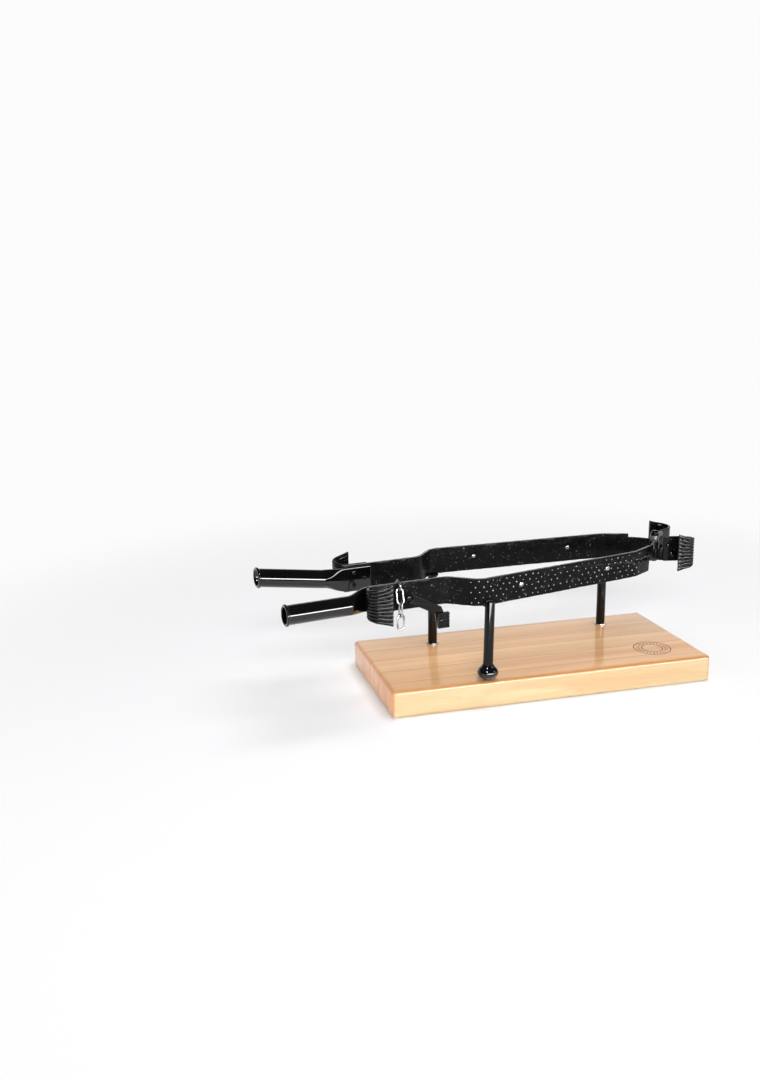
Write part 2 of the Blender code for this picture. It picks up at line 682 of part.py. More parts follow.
def make_arm_rivets(label, side, low, pieces):
    """Three rivets through scroll, arm and handle plate."""
    v = ARM_OFFSET + (STRIP_THICKNESS + SCROLL_THICKNESS) / 2 + GAP
    grip = SCROLL_THICKNESS + STRIP_THICKNESS + HANDLE_PLATE_THICKNESS + 2 * GAP
    mid = low + STRIP_HEIGHT / 2
    for number, (u, rise) in enumerate(ARM_RIVETS, 1):
        rivet("%s_arm_rivet_%d" % (label, number), (u, v), side, mid + rise, grip,
              SCROLL_THICKNESS / 2, pieces)


def make_cheek_studs(label, side, low, jaw):
    """Large round studs through the cheek of a jaw."""
    slope = (SHOULDER_OFFSET - CHEEK_OFFSET) / (SHOULDER_OUTER - CHEEK_END)
    for number, u in enumerate(CHEEK_STUDS, 1):
        v = CHEEK_OFFSET + slope * (u - CHEEK_END)
        rivet("%s_cheek_stud_%d" % (label, number), (u, v), side, low + CHEEK_STUD_RISE,
              STRIP_THICKNESS, STRIP_THICKNESS / 2, [jaw], slope)


clear_scene()
parts = collection("ham_holder_stand")
cutters = collection("cutters")
paint = material("black gloss paint", (0.012, 0.012, 0.013), 0.22, 0.0)
zinc = material("bright zinc", (0.72, 0.72, 0.70), 0.25, 1.0)
steel = material("blackened steel", (0.10, 0.10, 0.10), 0.3, 0.8)
wood = material("lacquered wood", (0.72, 0.50, 0.28), 0.35, 0.0)

board = make_board()
make_post("rear_left", LEFT_POST, board)
make_post("rear_right", RIGHT_POST, board)

SIDES = {"front": (FRONT, FRONT_LOW, FRONT_GRIP), "rear": (REAR, REAR_LOW, REAR_GRIP)}
for label, (side, low, grip) in SIDES.items():
    jaw = make_jaw(label + "_jaw", side, low)
    scroll = make_arm_scroll(label + "_arm_scroll", side, low)
    handle = make_handle(label + "_handle", side, low, *grip)
    make_arm_rivets(label, side, low, [scroll, jaw, handle])
    make_cheek_studs(label, side, low, jaw)
    if side == FRONT:
        make_leg(low)
        make_chain(low, jaw)
        make_lever(jaw)
    if side == FRONT:
        make_tail("rear_tail", REAR, *REAR_TAIL, jaw)
    else:
        make_tail("front_tail", FRONT, *FRONT_TAIL, jaw)
make_pin()
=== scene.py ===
import json
import math

import bmesh
import bpy
import numpy as np
from mathutils import Matrix, Vector, noise

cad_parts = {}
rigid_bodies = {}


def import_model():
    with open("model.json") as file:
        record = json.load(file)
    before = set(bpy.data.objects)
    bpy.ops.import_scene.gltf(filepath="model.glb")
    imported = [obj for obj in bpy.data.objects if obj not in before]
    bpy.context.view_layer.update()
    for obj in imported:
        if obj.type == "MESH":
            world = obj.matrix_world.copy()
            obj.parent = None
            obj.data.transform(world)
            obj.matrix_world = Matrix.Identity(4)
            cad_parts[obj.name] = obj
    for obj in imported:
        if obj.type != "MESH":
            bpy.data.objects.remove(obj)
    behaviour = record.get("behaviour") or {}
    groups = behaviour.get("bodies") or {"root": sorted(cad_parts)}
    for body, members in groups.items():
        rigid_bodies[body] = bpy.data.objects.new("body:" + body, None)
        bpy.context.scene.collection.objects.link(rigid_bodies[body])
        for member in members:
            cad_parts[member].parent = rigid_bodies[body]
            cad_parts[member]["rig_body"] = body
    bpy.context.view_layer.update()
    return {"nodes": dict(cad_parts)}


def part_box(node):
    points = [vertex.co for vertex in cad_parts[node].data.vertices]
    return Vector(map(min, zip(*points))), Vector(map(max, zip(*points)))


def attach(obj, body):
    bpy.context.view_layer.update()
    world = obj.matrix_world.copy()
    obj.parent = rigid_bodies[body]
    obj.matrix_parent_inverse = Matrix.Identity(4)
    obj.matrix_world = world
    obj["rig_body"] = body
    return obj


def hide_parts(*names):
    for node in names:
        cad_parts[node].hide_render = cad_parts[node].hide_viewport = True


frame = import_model()
print("frame loaded, %d nodes" % len(frame["nodes"]))


# places that the frame gives
def middle(node):
    low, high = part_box(node)
    return (low + high) / 2


def upright(node):
    low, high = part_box(node)
    centre = middle(node)
    return {"centre": Vector((centre.x, centre.y, 0)), "radius": (high.x - low.x) / 2,
            "low": low.z, "high": high.z}


pin = upright("hinge_pin")["centre"]
heading = math.radians(188)                      # from the pin towards the handles
along = Vector((math.cos(heading), math.sin(heading), 0))
outFront = Vector((-along.y, along.x, 0))        # away from the jaws' centre line, front half
sideOf = {"front": 1, "rear": -1}
stripLow = {half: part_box(half + "_jaw")[0].z for half in sideOf}
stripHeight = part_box("rear_jaw")[1].z - stripLow["rear"]
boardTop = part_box("board")[1].z
bodyOf = {"front": "front_half", "rear": "stand"}
gap = 0.0003


def place(u, v, side, z=0.0):
    return pin + along * u + outFront * (v * side) + Vector((0, 0, z))


# node trees
class Wire:
    # an output that takes part in sums, so that the maths of a finish reads as it would on paper
    def __init__(self, graph, socket):
        self.graph = graph
        self.socket = socket

    def __add__(self, other): return self.graph.maths("ADD", self, other)
    def __radd__(self, other): return self.graph.maths("ADD", other, self)
    def __sub__(self, other): return self.graph.maths("SUBTRACT", self, other)
    def __rsub__(self, other): return self.graph.maths("SUBTRACT", other, self)
    def __mul__(self, other): return self.graph.maths("MULTIPLY", self, other)
    def __rmul__(self, other): return self.graph.maths("MULTIPLY", other, self)
    def __truediv__(self, other): return self.graph.maths("DIVIDE", self, other)
    def __pow__(self, other): return self.graph.maths("POWER", self, other)
    def __abs__(self): return self.graph.maths("ABSOLUTE", self, 0.0)
    def __gt__(self, other): return self.graph.maths("GREATER_THAN", self, other)
    def __lt__(self, other): return self.graph.maths("LESS_THAN", self, other)

    def floor(self): return self.graph.maths("FLOOR", self, 0.0)
    def most(self, other): return self.graph.maths("MAXIMUM", self, other)
    def least(self, other): return self.graph.maths("MINIMUM", self, other)

    def ease(self, low, high):
        # 0 below low, 1 above high, smooth between
        return self.graph.node("ShaderNodeMapRange", {"interpolation_type": "SMOOTHSTEP"},
                               {"Value": self, "From Min": low, "From Max": high})


class Graph:
    def __init__(self, tree):
        self.tree = tree

    def feed(self, socket, value):
        if isinstance(value, Wire):
            self.tree.links.new(value.socket, socket)
        elif value is not None:
            socket.default_value = value

    def node(self, kind, settings=None, inputs=None, out=0):
        made = self.tree.nodes.new(kind)
        for key, value in (settings or {}).items():
            if key == "stops":
                ramp = made.color_ramp
                while len(ramp.elements) < len(value):
                    ramp.elements.new(1.0)
                for element, (spot, colour) in zip(ramp.elements, value):
                    element.position = spot
                    element.color = (*colour, 1)
            else:
                setattr(made, key, value)
        for key, value in (inputs or {}).items():
            self.feed(made.inputs[key], value)
        return Wire(self, made.outputs[out])

    def maths(self, operation, first, second):
        return self.node("ShaderNodeMath", {"operation": operation}, {0: first, 1: second})

    def vector(self, operation, first, second, out=0):
        key = "Scale" if operation == "SCALE" else 1
        return self.node("ShaderNodeVectorMath", {"operation": operation}, {0: first, key: second}, out)

    def joined(self, *values):
        return self.node("ShaderNodeCombineXYZ", None, dict(enumerate(values)))

    def split(self, vector):
        parts = self.node("ShaderNodeSeparateXYZ", None, {0: vector}).socket.node
        return [Wire(self, out) for out in parts.outputs]

    def geo(self, kind, settings=None, out=0, **inputs):
        return self.node("GeometryNode" + kind, settings, inputs, out)

    def stored(self, shape, name, value, kind="FLOAT_VECTOR"):
        return self.geo("StoreNamedAttribute", {"data_type": kind}, Geometry=shape, Name=name, Value=value)

    def named(self, name, kind="FLOAT_VECTOR"):
        return self.geo("InputNamedAttribute", {"data_type": kind}, Name=name)

    def random(self, low, high, seed):
        kind, first = ("FLOAT_VECTOR", 0) if isinstance(low, tuple) else ("FLOAT", 2)
        return self.node("FunctionNodeRandomValue", {"data_type": kind},
                         {first: low, first + 1: high, "Seed": seed}, first // 2)

    def turnedTo(self, facing):
        return self.node("FunctionNodeAlignRotationToVector", {"axis": "Z"}, {"Vector": facing})

    def ball(self, segments, rings, radius):
        return self.geo("MeshUVSphere", Segments=segments, Rings=rings, Radius=radius)


class Finish(Graph):
    # a material that starts as one Principled shader
    def __init__(self, name, **fixed):
        self.material = bpy.data.materials.new(name)
        self.material.use_nodes = True
        super().__init__(self.material.node_tree)
        self.shader = self.tree.nodes["Principled BSDF"]
        for key, value in fixed.items():
            self.shader.inputs[key.replace("_", " ")].default_value = value
        self.place = self.node("ShaderNodeTexCoord", out="Object")

    def speckle(self, scale, detail=2.0, vector=None, roughness=0.5):
        return self.node("ShaderNodeTexNoise", None,
                         {"Vector": vector or self.place, "Scale": scale, "Detail": detail,
                          "Roughness": roughness})

    def stretched(self, scale, shift=None):
        place = self.place
        if shift is not None:
            place = self.vector("ADD", place, shift)
        return self.vector("MULTIPLY", place, scale)

    def mix(self, amount, first, second, blend="MIX"):
        made = self.tree.nodes.new("ShaderNodeMix")
        made.data_type = "RGBA"
        made.blend_type = blend
        for index, value in ((0, amount), (6, first), (7, second)):
            if isinstance(value, tuple):
                value = (*value, 1)
            self.feed(made.inputs[index], value)
        return Wire(self, made.outputs[2])

    def set(self, socket, value):
        self.feed(self.shader.inputs[socket], value)

    def relief(self, height, depth, normal=None):
        # bump whose full height is depth metres
        return self.node("ShaderNodeBump", None, {"Height": height, "Distance": depth, "Strength": 1.0,
                                                  "Normal": normal}, "Normal")


def makeBlackPaint(name, look):
    # stoved gloss black: peel, fine dust, and bare metal showing thinly where a wear attribute says
    finish = Finish(name, Coat_Weight=look["coat"], Coat_Roughness=look["coatRoughness"],
                    Specular_IOR_Level=look["specular"])
    cloud = finish.speckle(look["cloud"], 3.0)
    peel = finish.speckle(look["peel"], 2.0)
    grit = finish.speckle(look["grit"], 2.0, roughness=0.7)
    dust = grit.ease(0.60, 0.74) * cloud.ease(0.42, 0.68) * look["dust"]
    colour = finish.mix(cloud, look["deep"], look["pale"])
    colour = finish.mix(dust, colour, look["dustColour"])
    rough = look["roughness"] + (cloud - 0.5) * look["roughnessSpread"] + dust * 0.3
    if look.get("worn"):
        wear = finish.node("ShaderNodeAttribute", {"attribute_name": "wear"}, out="Fac")
        bare = (wear * (0.45 + grit * 0.9)).ease(0.42, 0.80) * look["worn"]
        bare = bare.most(peel.ease(0.63, 0.72) * cloud.ease(0.40, 0.62) * look["glints"])
        colour = finish.mix(bare, colour, look["bareColour"])
        finish.set("Metallic", bare)
        rough = rough + bare * 0.08
    finish.set("Base Color", colour)
    finish.set("Roughness", rough.most(0.06))
    skin = finish.relief(peel, look["peelDepth"])
    finish.set("Normal", finish.relief(grit, look["gritDepth"], skin))
    return finish.material


paintLook = {"coat": 0.35, "coatRoughness": 0.04, "cloud": 34.0, "peel": 420.0, "grit": 1500.0,
             "dust": 0.10, "deep": (0.0015, 0.0015, 0.0018), "pale": (0.004, 0.004, 0.0044),
             "roughness": 0.13, "roughnessSpread": 0.12, "peelDepth": 0.00003,
             "gritDepth": 0.000004, "specular": 0.10, "dustColour": (0.20, 0.20, 0.19),
             "bareColour": (0.40, 0.40, 0.395)}
hammeredLook = dict(paintLook, coat=0.06, coatRoughness=0.10, peel=380.0, peelDepth=0.00030, grit=1000.0,
                    gritDepth=0.00006, roughness=0.24, roughnessSpread=0.20, dust=0.12, cloud=60.0,
                    pale=(0.007, 0.007, 0.0075), worn=0.4, specular=0.075, glints=0.3)
ribbedLook = dict(hammeredLook, coat=0.3, coatRoughness=0.06, roughness=0.20, peelDepth=0.00010, worn=0.16,
                  glints=0.15)
tubeLook = dict(paintLook, coat=1.0)
# pimples carry pale bare metal over their whole surface: painted highlights standing in for glints on black
# bumps
pimpleHighlightSkin = dict(hammeredLook, worn=0.75, dust=0.0)


def makeMetal(name, look):
    finish = Finish(name, Metallic=1.0)
    cloud = finish.speckle(look["cloud"], 3.0)
    grit = finish.speckle(look["grit"], 2.0, roughness=0.7)
    colour = finish.mix(cloud.ease(0.3, 0.7), look["dark"], look["bright"])
    finish.set("Base Color", finish.mix(grit.ease(0.62, 0.72) * look["spots"], colour, look["stain"]))
    finish.set("Roughness", look["roughness"] + (cloud - 0.5) * 0.25 + (grit - 0.5) * 0.12)
    finish.set("Normal", finish.relief(grit, look["gritDepth"]))
    return finish.material


def makeWood(look):
    # edge-glued staves under a lacquer, grain along X
    finish = Finish("board wood", Coat_Weight=look["coat"], Coat_Roughness=look["coatRoughness"])
    x, y, z = finish.split(finish.place)
    low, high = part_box("board")
    across = (y - low.y) / look["stave"] + look["firstStave"]
    stave = across.floor()
    seed, tone = (finish.node("ShaderNodeTexWhiteNoise", {"noise_dimensions": "1D"}, {"W": start})
                  for start in (stave, stave + 17.3))
    shift = finish.joined(seed * 3.0, seed * 0.9, seed * 0.4)
    sway = finish.speckle(1.0, 2.0, finish.stretched((3.2, 22.0, 22.0), shift))
    band = finish.vector("ADD", finish.stretched((1.0, 46.0, 30.0), shift),
                         finish.joined(0.0, sway * 2.4, sway * 1.4))
    rings = finish.speckle(1.0, 3.0, band, 0.6)
    fibre = finish.speckle(1.0, 3.0, finish.stretched((9.0, 620.0, 620.0), shift), 0.65)
    pores = finish.speckle(1.0, 2.0, finish.stretched((38.0, 1500.0, 1500.0), shift), 0.6)

    top = finish.mix(rings.ease(0.30, 0.72), look["topPale"], look["topDark"])
    # the long faces and underside get a much paler yellow set than the top: painted light, as if lit from the
    # front
    sides = finish.mix(rings.ease(0.30, 0.72), look["litSidePale"], look["litSideDark"])
    ends = finish.mix(rings.ease(0.35, 0.65), look["endPale"], look["endDark"])
    onTop, onEnd = (spot.ease(face - 0.003, face - 0.0012)
                    for spot, face in ((z, high.z), (abs(x), high.x)))
    colour = finish.mix(onTop, finish.mix(onEnd, sides, ends), top)
    colour = finish.mix((tone - 0.5) * 0.5 + 0.25, colour, look["staveTint"], "MULTIPLY")
    colour = finish.mix(fibre.ease(0.45, 0.75) * 0.30, colour, look["fibre"], "MULTIPLY")
    colour = finish.mix(pores.ease(0.62, 0.72) * 0.45, colour, look["pore"], "MULTIPLY")

    part = across - stave
    seam = (0.5 - abs(part - 0.5)) * look["stave"]
    glue = 1 - seam.ease(0.0001, look["glueLine"])
    colour = finish.mix(glue * 0.5, colour, look["glue"], "MULTIPLY")
    # darker along the rounded edges: painted shade on the roundover, multiplied in by the rim colour
    reach = ((high.x - abs(x)).least(high.y - abs(y))).most(high.z - z) / look["edge"]
    rim = 1 - reach.ease(0.25, 1.0)
    colour = finish.mix(rim * 0.75, colour, look["rim"], "MULTIPLY")
    ring = finish.vector("DISTANCE", finish.place, tuple(mark["centre"]), "Value")
    burnt = (z < boardTop - 0.00006) * (ring < mark["radius"] * 1.15)
    colour = finish.mix(burnt * 0.95, colour, look["burn"], "MULTIPLY")
    finish.set("Base Color", colour)
    haze = finish.speckle(14.0, 3.0)
    finish.set("Roughness", look["roughness"] + (haze - 0.5) * 0.16 + (1 - fibre) * 0.06 + burnt * 0.3)
    height = fibre * 0.5 + pores * -0.5 + rings * 0.4
    finish.set("Normal", finish.relief(height, look["grainDepth"]))
    return finish.material


# shapes
def rounded(corners, fine=4.0):
    # outline through (x, y, radius) corners; every corner with a radius becomes an arc
    path = [Vector(corners[0][:2])]
    for before, corner, after in zip(corners, corners[1:], corners[2:]):
        here = Vector(corner[:2])
        if len(corner) < 3:
            path.append(here)
            continue
        come = (Vector(before[:2]) - here).normalized()
        go = (Vector(after[:2]) - here).normalized()
        half = come.angle(go) / 2
        centre = here + (come + go).normalized() * (corner[2] / math.sin(half))
        start = here + come * (corner[2] / math.tan(half)) - centre
        turn = math.pi - 2 * half
        if come.x * go.y - come.y * go.x > 0:
            turn = -turn
        count = max(3, math.ceil(abs(turn) / math.radians(fine)))
        path += [centre + Matrix.Rotation(turn * i / count, 2) @ start for i in range(count + 1)]
    path.append(Vector(corners[-1][:2]))
    return path


def skin(rows, columns, bitesTail=False):
    # quads over a grid whose columns wrap round; the ends are capped unless the last row meets the first
    faces = []
    for r in range(rows if bitesTail else rows - 1):
        for c in range(columns):
            d, s = (c + 1) % columns, (r + 1) % rows
            faces.append((r * columns + c, r * columns + d, s * columns + d, s * columns + c))
    if not bitesTail:
        faces.append(tuple(range(columns)))
        faces.append(tuple(range((rows - 1) * columns, rows * columns)))
    return faces


def lathe(profile, centre, steps=48, hollow=False):
    # turned about the vertical through centre; profile is (radius, z), closed for a hollow piece
    turns = [2 * math.pi * i / steps for i in range(steps)]
    rows = [p for p in profile if hollow or p[0] > 1e-6]
    points = [(centre.x + r * math.cos(a), centre.y + r * math.sin(a), z) for r, z in rows for a in turns]
    faces = skin(len(rows), steps, hollow)
    if not hollow:
        faces = faces[:-2]
        for row, (_, z) in ((0, profile[0]), (len(rows) - 1, profile[-1])):
            pole = len(points)
            points.append((centre.x, centre.y, z))
            faces += [(row * steps + i, row * steps + (i + 1) % steps, pole) for i in range(steps)]
    return points, faces


def washer(inner, outer, low, high, centre, edge):
    half = (low + high) / 2
    corners = [(inner, half), (inner, high, edge), (outer, high, edge), (outer, low, edge),
               (inner, low, edge), (inner, half)]
    return lathe(rounded(corners, 22.5)[:-1], centre, 48, True)


def meshFrom(name, shells, attributes=None):
    points, faces = [], []
    for shellPoints, shellFaces in shells:
        start = len(points)
        points += [tuple(p) for p in shellPoints]
        faces += [tuple(start + i for i in face) for face in shellFaces]
    mesh = bpy.data.meshes.new(name)
    mesh.from_pydata(points, [], faces)
    for key, values in (attributes or {}).items():
        mesh.attributes.new(key, "FLOAT", "POINT").data.foreach_set("value", np.ravel(values))
    shape = bmesh.new()
    shape.from_mesh(mesh)
    bmesh.ops.recalc_face_normals(shape, faces=shape.faces)
    shape.to_mesh(mesh)
    shape.free()
    return mesh


def loose(name, mesh):
    thing = bpy.data.objects.new(name, mesh)
    bpy.context.scene.collection.objects.link(thing)
    return thing


def plain(thing, name=None):
    # the evaluated shape as a plain mesh object; the live one goes
    bpy.context.view_layer.update()
    graph = bpy.context.evaluated_depsgraph_get()
    mesh = bpy.data.meshes.new_from_object(thing.evaluated_get(graph))
    name = name or thing.name
    mesh.transform(thing.matrix_world)
    bpy.data.objects.remove(thing, do_unlink=True)
    mesh.name = name
    return loose(name, mesh)


def joinOrCut(thing, steps):
    # steps are (operation, shells)
    cutters = []
    for number, (operation, shells) in enumerate(steps):
        cutter = loose("%s_tool_%d" % (thing.name, number), meshFrom("tool", shells))
        step = thing.modifiers.new("step", "BOOLEAN")
        step.operation = operation
        step.solver = "EXACT"
        step.object = cutter
        cutters.append(cutter)
    name = thing.name
    thing.name = name + "_live"
    made = plain(thing, name)
    for cutter in cutters:
        bpy.data.objects.remove(cutter, do_unlink=True)
    return made


def settle(thing, look, body, nodes=(), sharp=35):
    thing.data.materials.clear()
    thing.data.materials.append(look)
    thing.data.shade_smooth()
    thing.data.set_sharp_from_angle(angle=math.radians(sharp))
    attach(thing, body)
    if nodes:
        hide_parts(*nodes)
    return thing


def softCopy(node, look, width, segments=3, sharp=40):
    # the CAD piece with its flats merged and its edges rounded
    mesh = frame["nodes"][node].data.copy()
    shape = bmesh.new()
    shape.from_mesh(mesh)
    bmesh.ops.remove_doubles(shape, verts=shape.verts, dist=0.00002)
    bmesh.ops.dissolve_limit(shape, angle_limit=math.radians(2), verts=shape.verts, edges=shape.edges)
    edges = [e for e in shape.edges if len(e.link_faces) == 2 and e.calc_face_angle() > math.radians(25)]
    bmesh.ops.bevel(shape, geom=edges, offset=width, segments=segments, affect="EDGES", profile=0.5,
                    clamp_overlap=True)
    shape.to_mesh(mesh)
    shape.free()
    body = frame["nodes"][node]["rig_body"]
    return settle(loose(node + "_soft", mesh), look, body, [node], sharp)


def makeRing(name, node, inner, centre, look, edge=0.0003):
    ring = upright(node)
    shell = washer(inner, ring["radius"], ring["low"], ring["high"], centre, edge)
    return settle(loose(name, meshFrom("ring", [shell])), look, "stand", [node])


# geometry node trees
def growTree(name, sizes):
    tree = bpy.data.node_groups.new(name, "GeometryNodeTree")
    tree.interface.new_socket("Geometry", in_out="INPUT", socket_type="NodeSocketGeometry")
    kinds = {float: "NodeSocketFloat", int: "NodeSocketInt"}
    for key, value in sizes.items():
        socket = tree.interface.new_socket(key, in_out="INPUT", socket_type=kinds[type(value)])
        socket.default_value = value
    tree.interface.new_socket("Look", in_out="INPUT", socket_type="NodeSocketMaterial")
    tree.interface.new_socket("Geometry", in_out="OUTPUT", socket_type="NodeSocketGeometry")
    graph = Graph(tree)
    entry = tree.nodes.new("NodeGroupInput")
    graph.given = {out.name: Wire(graph, out) for out in entry.outputs if out.name}
    return graph


def evenLine(graph, step):
    line = graph.geo("MeshToCurve", Mesh=graph.given["Geometry"])
    return graph.geo("ResampleCurve", {"mode": "LENGTH"}, Curve=line, Length=step)


def endTree(graph, shape):
    real = graph.geo("RealizeInstances", Geometry=shape)
    smooth = graph.geo("SetShadeSmooth", Geometry=real)
    dressed = graph.geo("SetMaterial", Geometry=smooth, Material=graph.given["Look"])
    leave = graph.tree.nodes.new("NodeGroupOutput")
    graph.tree.links.new(dressed.socket, leave.inputs[0])
    return graph.tree


def grow(name, base, tree, look, **sizes):
    thing = loose(name + "_live", base)
    step = thing.modifiers.new("grow", "NODES")
    step.node_group = tree
    for item in tree.interface.items_tree:
        if item.item_type == "SOCKET" and item.in_out == "INPUT":
            if item.name in sizes:
                step[item.identifier] = sizes[item.name]
            elif item.name == "Look":
                step[item.identifier] = look
    return plain(thing, name)


def pimpleTree():
    # staggered rows of small domes on a strip's outer face; the base is a line along that face
    graph = growTree("pimples", {"Pitch": 0.0095, "Row Pitch": 0.0066, "Rows": 5, "Radius": 0.001,
                                 "Height": 0.6, "Side": 1.0, "Scatter": 0.0011, "Seed": 4})
    given = graph.given
    line = evenLine(graph, given["Pitch"] * 0.5)
    facing = graph.vector("CROSS_PRODUCT", graph.geo("InputTangent"), (0, 0, 1))
    line = graph.stored(line, "facing", graph.vector("SCALE", facing, given["Side"]))
    dots = graph.geo("CurveToPoints", {"mode": "EVALUATED"}, Curve=line)
    dots = graph.stored(dots, "step", graph.geo("InputIndex"), "INT")
    copies = graph.geo("DuplicateElements", {"domain": "POINT"}, Geometry=dots, Amount=given["Rows"])
    row = Wire(graph, copies.socket.node.outputs["Duplicate Index"])
    odd = graph.maths("MODULO", graph.named("step", "INT") + row, 2.0)
    missing = graph.random(0.0, 1.0, given["Seed"]) > 0.92
    kept = graph.geo("DeleteGeometry", {"domain": "POINT"}, Geometry=copies, Selection=(odd + missing) > 0.5)
    jitter = graph.vector("SCALE", graph.random((-1, -1, -1), (1, 1, 1), given["Seed"] + 1), given["Scatter"])
    facing = graph.named("facing")
    jitter = graph.vector("SUBTRACT", jitter, graph.vector("PROJECT", jitter, facing))
    lift = graph.joined(0.0, 0.0, (row - (given["Rows"] - 1) * 0.5) * given["Row Pitch"])
    kept = graph.geo("SetPosition", Geometry=kept, Offset=graph.vector("ADD", jitter, lift))
    dome = graph.geo("Transform", Geometry=graph.ball(12, 7, given["Radius"]),
                     Scale=graph.joined(1.0, 1.0, given["Height"]))
    size = graph.random(0.65, 1.2, given["Seed"] + 2)
    return endTree(graph, graph.geo("InstanceOnPoints", Points=kept, Instance=dome,
                                    Rotation=graph.turnedTo(facing), Scale=size))


def rivetTree():
    # domed head on a shank with a smaller closing head; the base's points carry a facing attribute
    graph = growTree("rivets", {"Head": 0.0036, "Rise": 0.0016, "Shank": 0.002, "Grip": 0.011})
    given = graph.given
    head = graph.geo("Transform", Geometry=graph.ball(28, 14, given["Head"]),
                     Scale=graph.joined(1.0, 1.0, given["Rise"] / given["Head"]))
    shank = graph.geo("MeshCylinder", Vertices=20, Radius=given["Shank"], Depth=given["Grip"])
    shank = graph.geo("Transform", Geometry=shank, Translation=graph.joined(0.0, 0.0, given["Grip"] * -0.5))
    tail = graph.geo("Transform", Geometry=graph.ball(20, 10, given["Shank"] * 1.5),
                     Translation=graph.joined(0.0, 0.0, given["Grip"] * -1.0), Scale=(1.0, 1.0, 0.35))
    whole = graph.geo("JoinGeometry", Geometry=head)
    for part in (shank, tail):
        graph.feed(whole.socket.node.inputs[0], part)
    rivets = graph.geo("InstanceOnPoints", Points=given["Geometry"], Instance=whole,
                       Rotation=graph.turnedTo(graph.named("facing")))
    return endTree(graph, rivets)


def weldTree():
    # overlapping ripples of a weld bead along a line
    graph = growTree("weld bead", {"Step": 0.0011, "Radius": 0.0015, "Seed": 2})
    given = graph.given
    dots = graph.geo("CurveToPoints", {"mode": "EVALUATED"}, Curve=evenLine(graph, given["Step"]))
    turn = Wire(graph, dots.socket.node.outputs["Rotation"])
    size = graph.random((0.85, 0.85, 0.7), (1.1, 1.1, 0.9), given["Seed"])
    beads = graph.geo("InstanceOnPoints", Points=dots, Instance=graph.ball(14, 8, given["Radius"]),
                      Rotation=turn, Scale=size)
    return endTree(graph, beads)


def linkTree():
    # round wire bent into an oval with straight sides
    graph = growTree("chain link", {"Length": 0.021, "Width": 0.0105, "Wire": 0.0012})
    given = graph.given
    inner = given["Width"] - given["Wire"] * 2.0
    box = graph.geo("CurvePrimitiveQuadrilateral", {"mode": "RECTANGLE"}, Width=inner,
                    Height=given["Length"] - given["Wire"] * 2.0)
    bent = graph.geo("FilletCurve", {"mode": "POLY"},
                     **{"Curve": box, "Count": 10, "Radius": inner * 0.4999, "Limit Radius": True})
    wire = graph.geo("CurvePrimitiveCircle", {"mode": "RADIUS"}, Resolution=14, Radius=given["Wire"])
    return endTree(graph, graph.geo("CurveToMesh", **{"Curve": bent, "Profile Curve": wire}))


# finishes
mark = {"centre": Vector((0.1532, -0.0478, boardTop)), "radius": 0.0235, "line": 0.0014,
        "depth": 0.0005, "ticks": 26}
woodLook = {"stave": 0.0385, "firstStave": 0.30, "coat": 0.85, "coatRoughness": 0.07,
            "roughness": 0.42, "grainDepth": 0.00006, "edge": 0.0052, "glueLine": 0.0015,
            "topPale": (0.78, 0.475, 0.235), "topDark": (0.64, 0.355, 0.160),
            # side colours are paler than the top colours: painted light on the long faces
            "litSidePale": (0.96, 0.79, 0.45), "litSideDark": (0.86, 0.56, 0.26),
            "endPale": (0.94, 0.46, 0.17), "endDark": (0.80, 0.34, 0.11),
            "staveTint": (0.93, 0.84, 0.76), "fibre": (0.84, 0.72, 0.58), "pore": (0.66, 0.46, 0.30),
            # rim is the tint of the painted shade on the rounded edges
            "glue": (0.42, 0.25, 0.13), "rim": (0.80, 0.52, 0.26), "burn": (0.22, 0.11, 0.05)}
zincLook = {"cloud": 90.0, "grit": 900.0, "dark": (0.60, 0.60, 0.59), "bright": (0.85, 0.85, 0.84),
            "stain": (0.30, 0.29, 0.26), "spots": 0.5, "roughness": 0.24, "gritDepth": 0.00001}
chainSteelLook = dict(zincLook, dark=(0.24, 0.24, 0.24), bright=(0.60, 0.60, 0.59))
steelLook = dict(zincLook, dark=(0.018, 0.018, 0.019), bright=(0.075, 0.075, 0.075), roughness=0.26,
                 stain=(0.25, 0.24, 0.22))
# cheek studs get pale bare steel: worn heads, made pale enough to also stand in for their highlights (painted
# sheen)
studWearAndSheenLook = dict(zincLook, dark=(0.22, 0.22, 0.22), bright=(0.55, 0.55, 0.54), roughness=0.16,
                stain=(0.03, 0.03, 0.03), spots=0.9)
blackPaint = makeBlackPaint("black paint", paintLook)
tubePaint = makeBlackPaint("glossy tube paint", tubeLook)
hammeredPaint = makeBlackPaint("hammered black paint", hammeredLook)
ribbedPaint = makeBlackPaint("ribbed black paint", ribbedLook)
pimpleHighlightPaint = makeBlackPaint("rubbed black paint", pimpleHighlightSkin)
zinc = makeMetal("bright zinc", zincLook)
chainSteel = makeMetal("chain steel", chainSteelLook)
darkSteel = makeMetal("blackened steel", steelLook)
studWearAndSheenSteel = makeMetal("worn stud steel", studWearAndSheenLook)
boardWood = makeWood(woodLook)
print("finishes made")


# board
boardLook = {"round": 0.0045, "steps": 7, "bore": 0.0043, "counterbore": 0.0115,
             "counterboreDepth": 0.013}


def block(low, high):
    corners = [(x, y, z) for x in (low[0], high[0]) for y in (low[1], high[1]) for z in (low[2], high[2])]
    return corners, [(0, 1, 3, 2), (4, 6, 7, 5), (0, 4, 5, 1), (2, 3, 7, 6), (0, 2, 6, 4), (1, 5, 7, 3)]


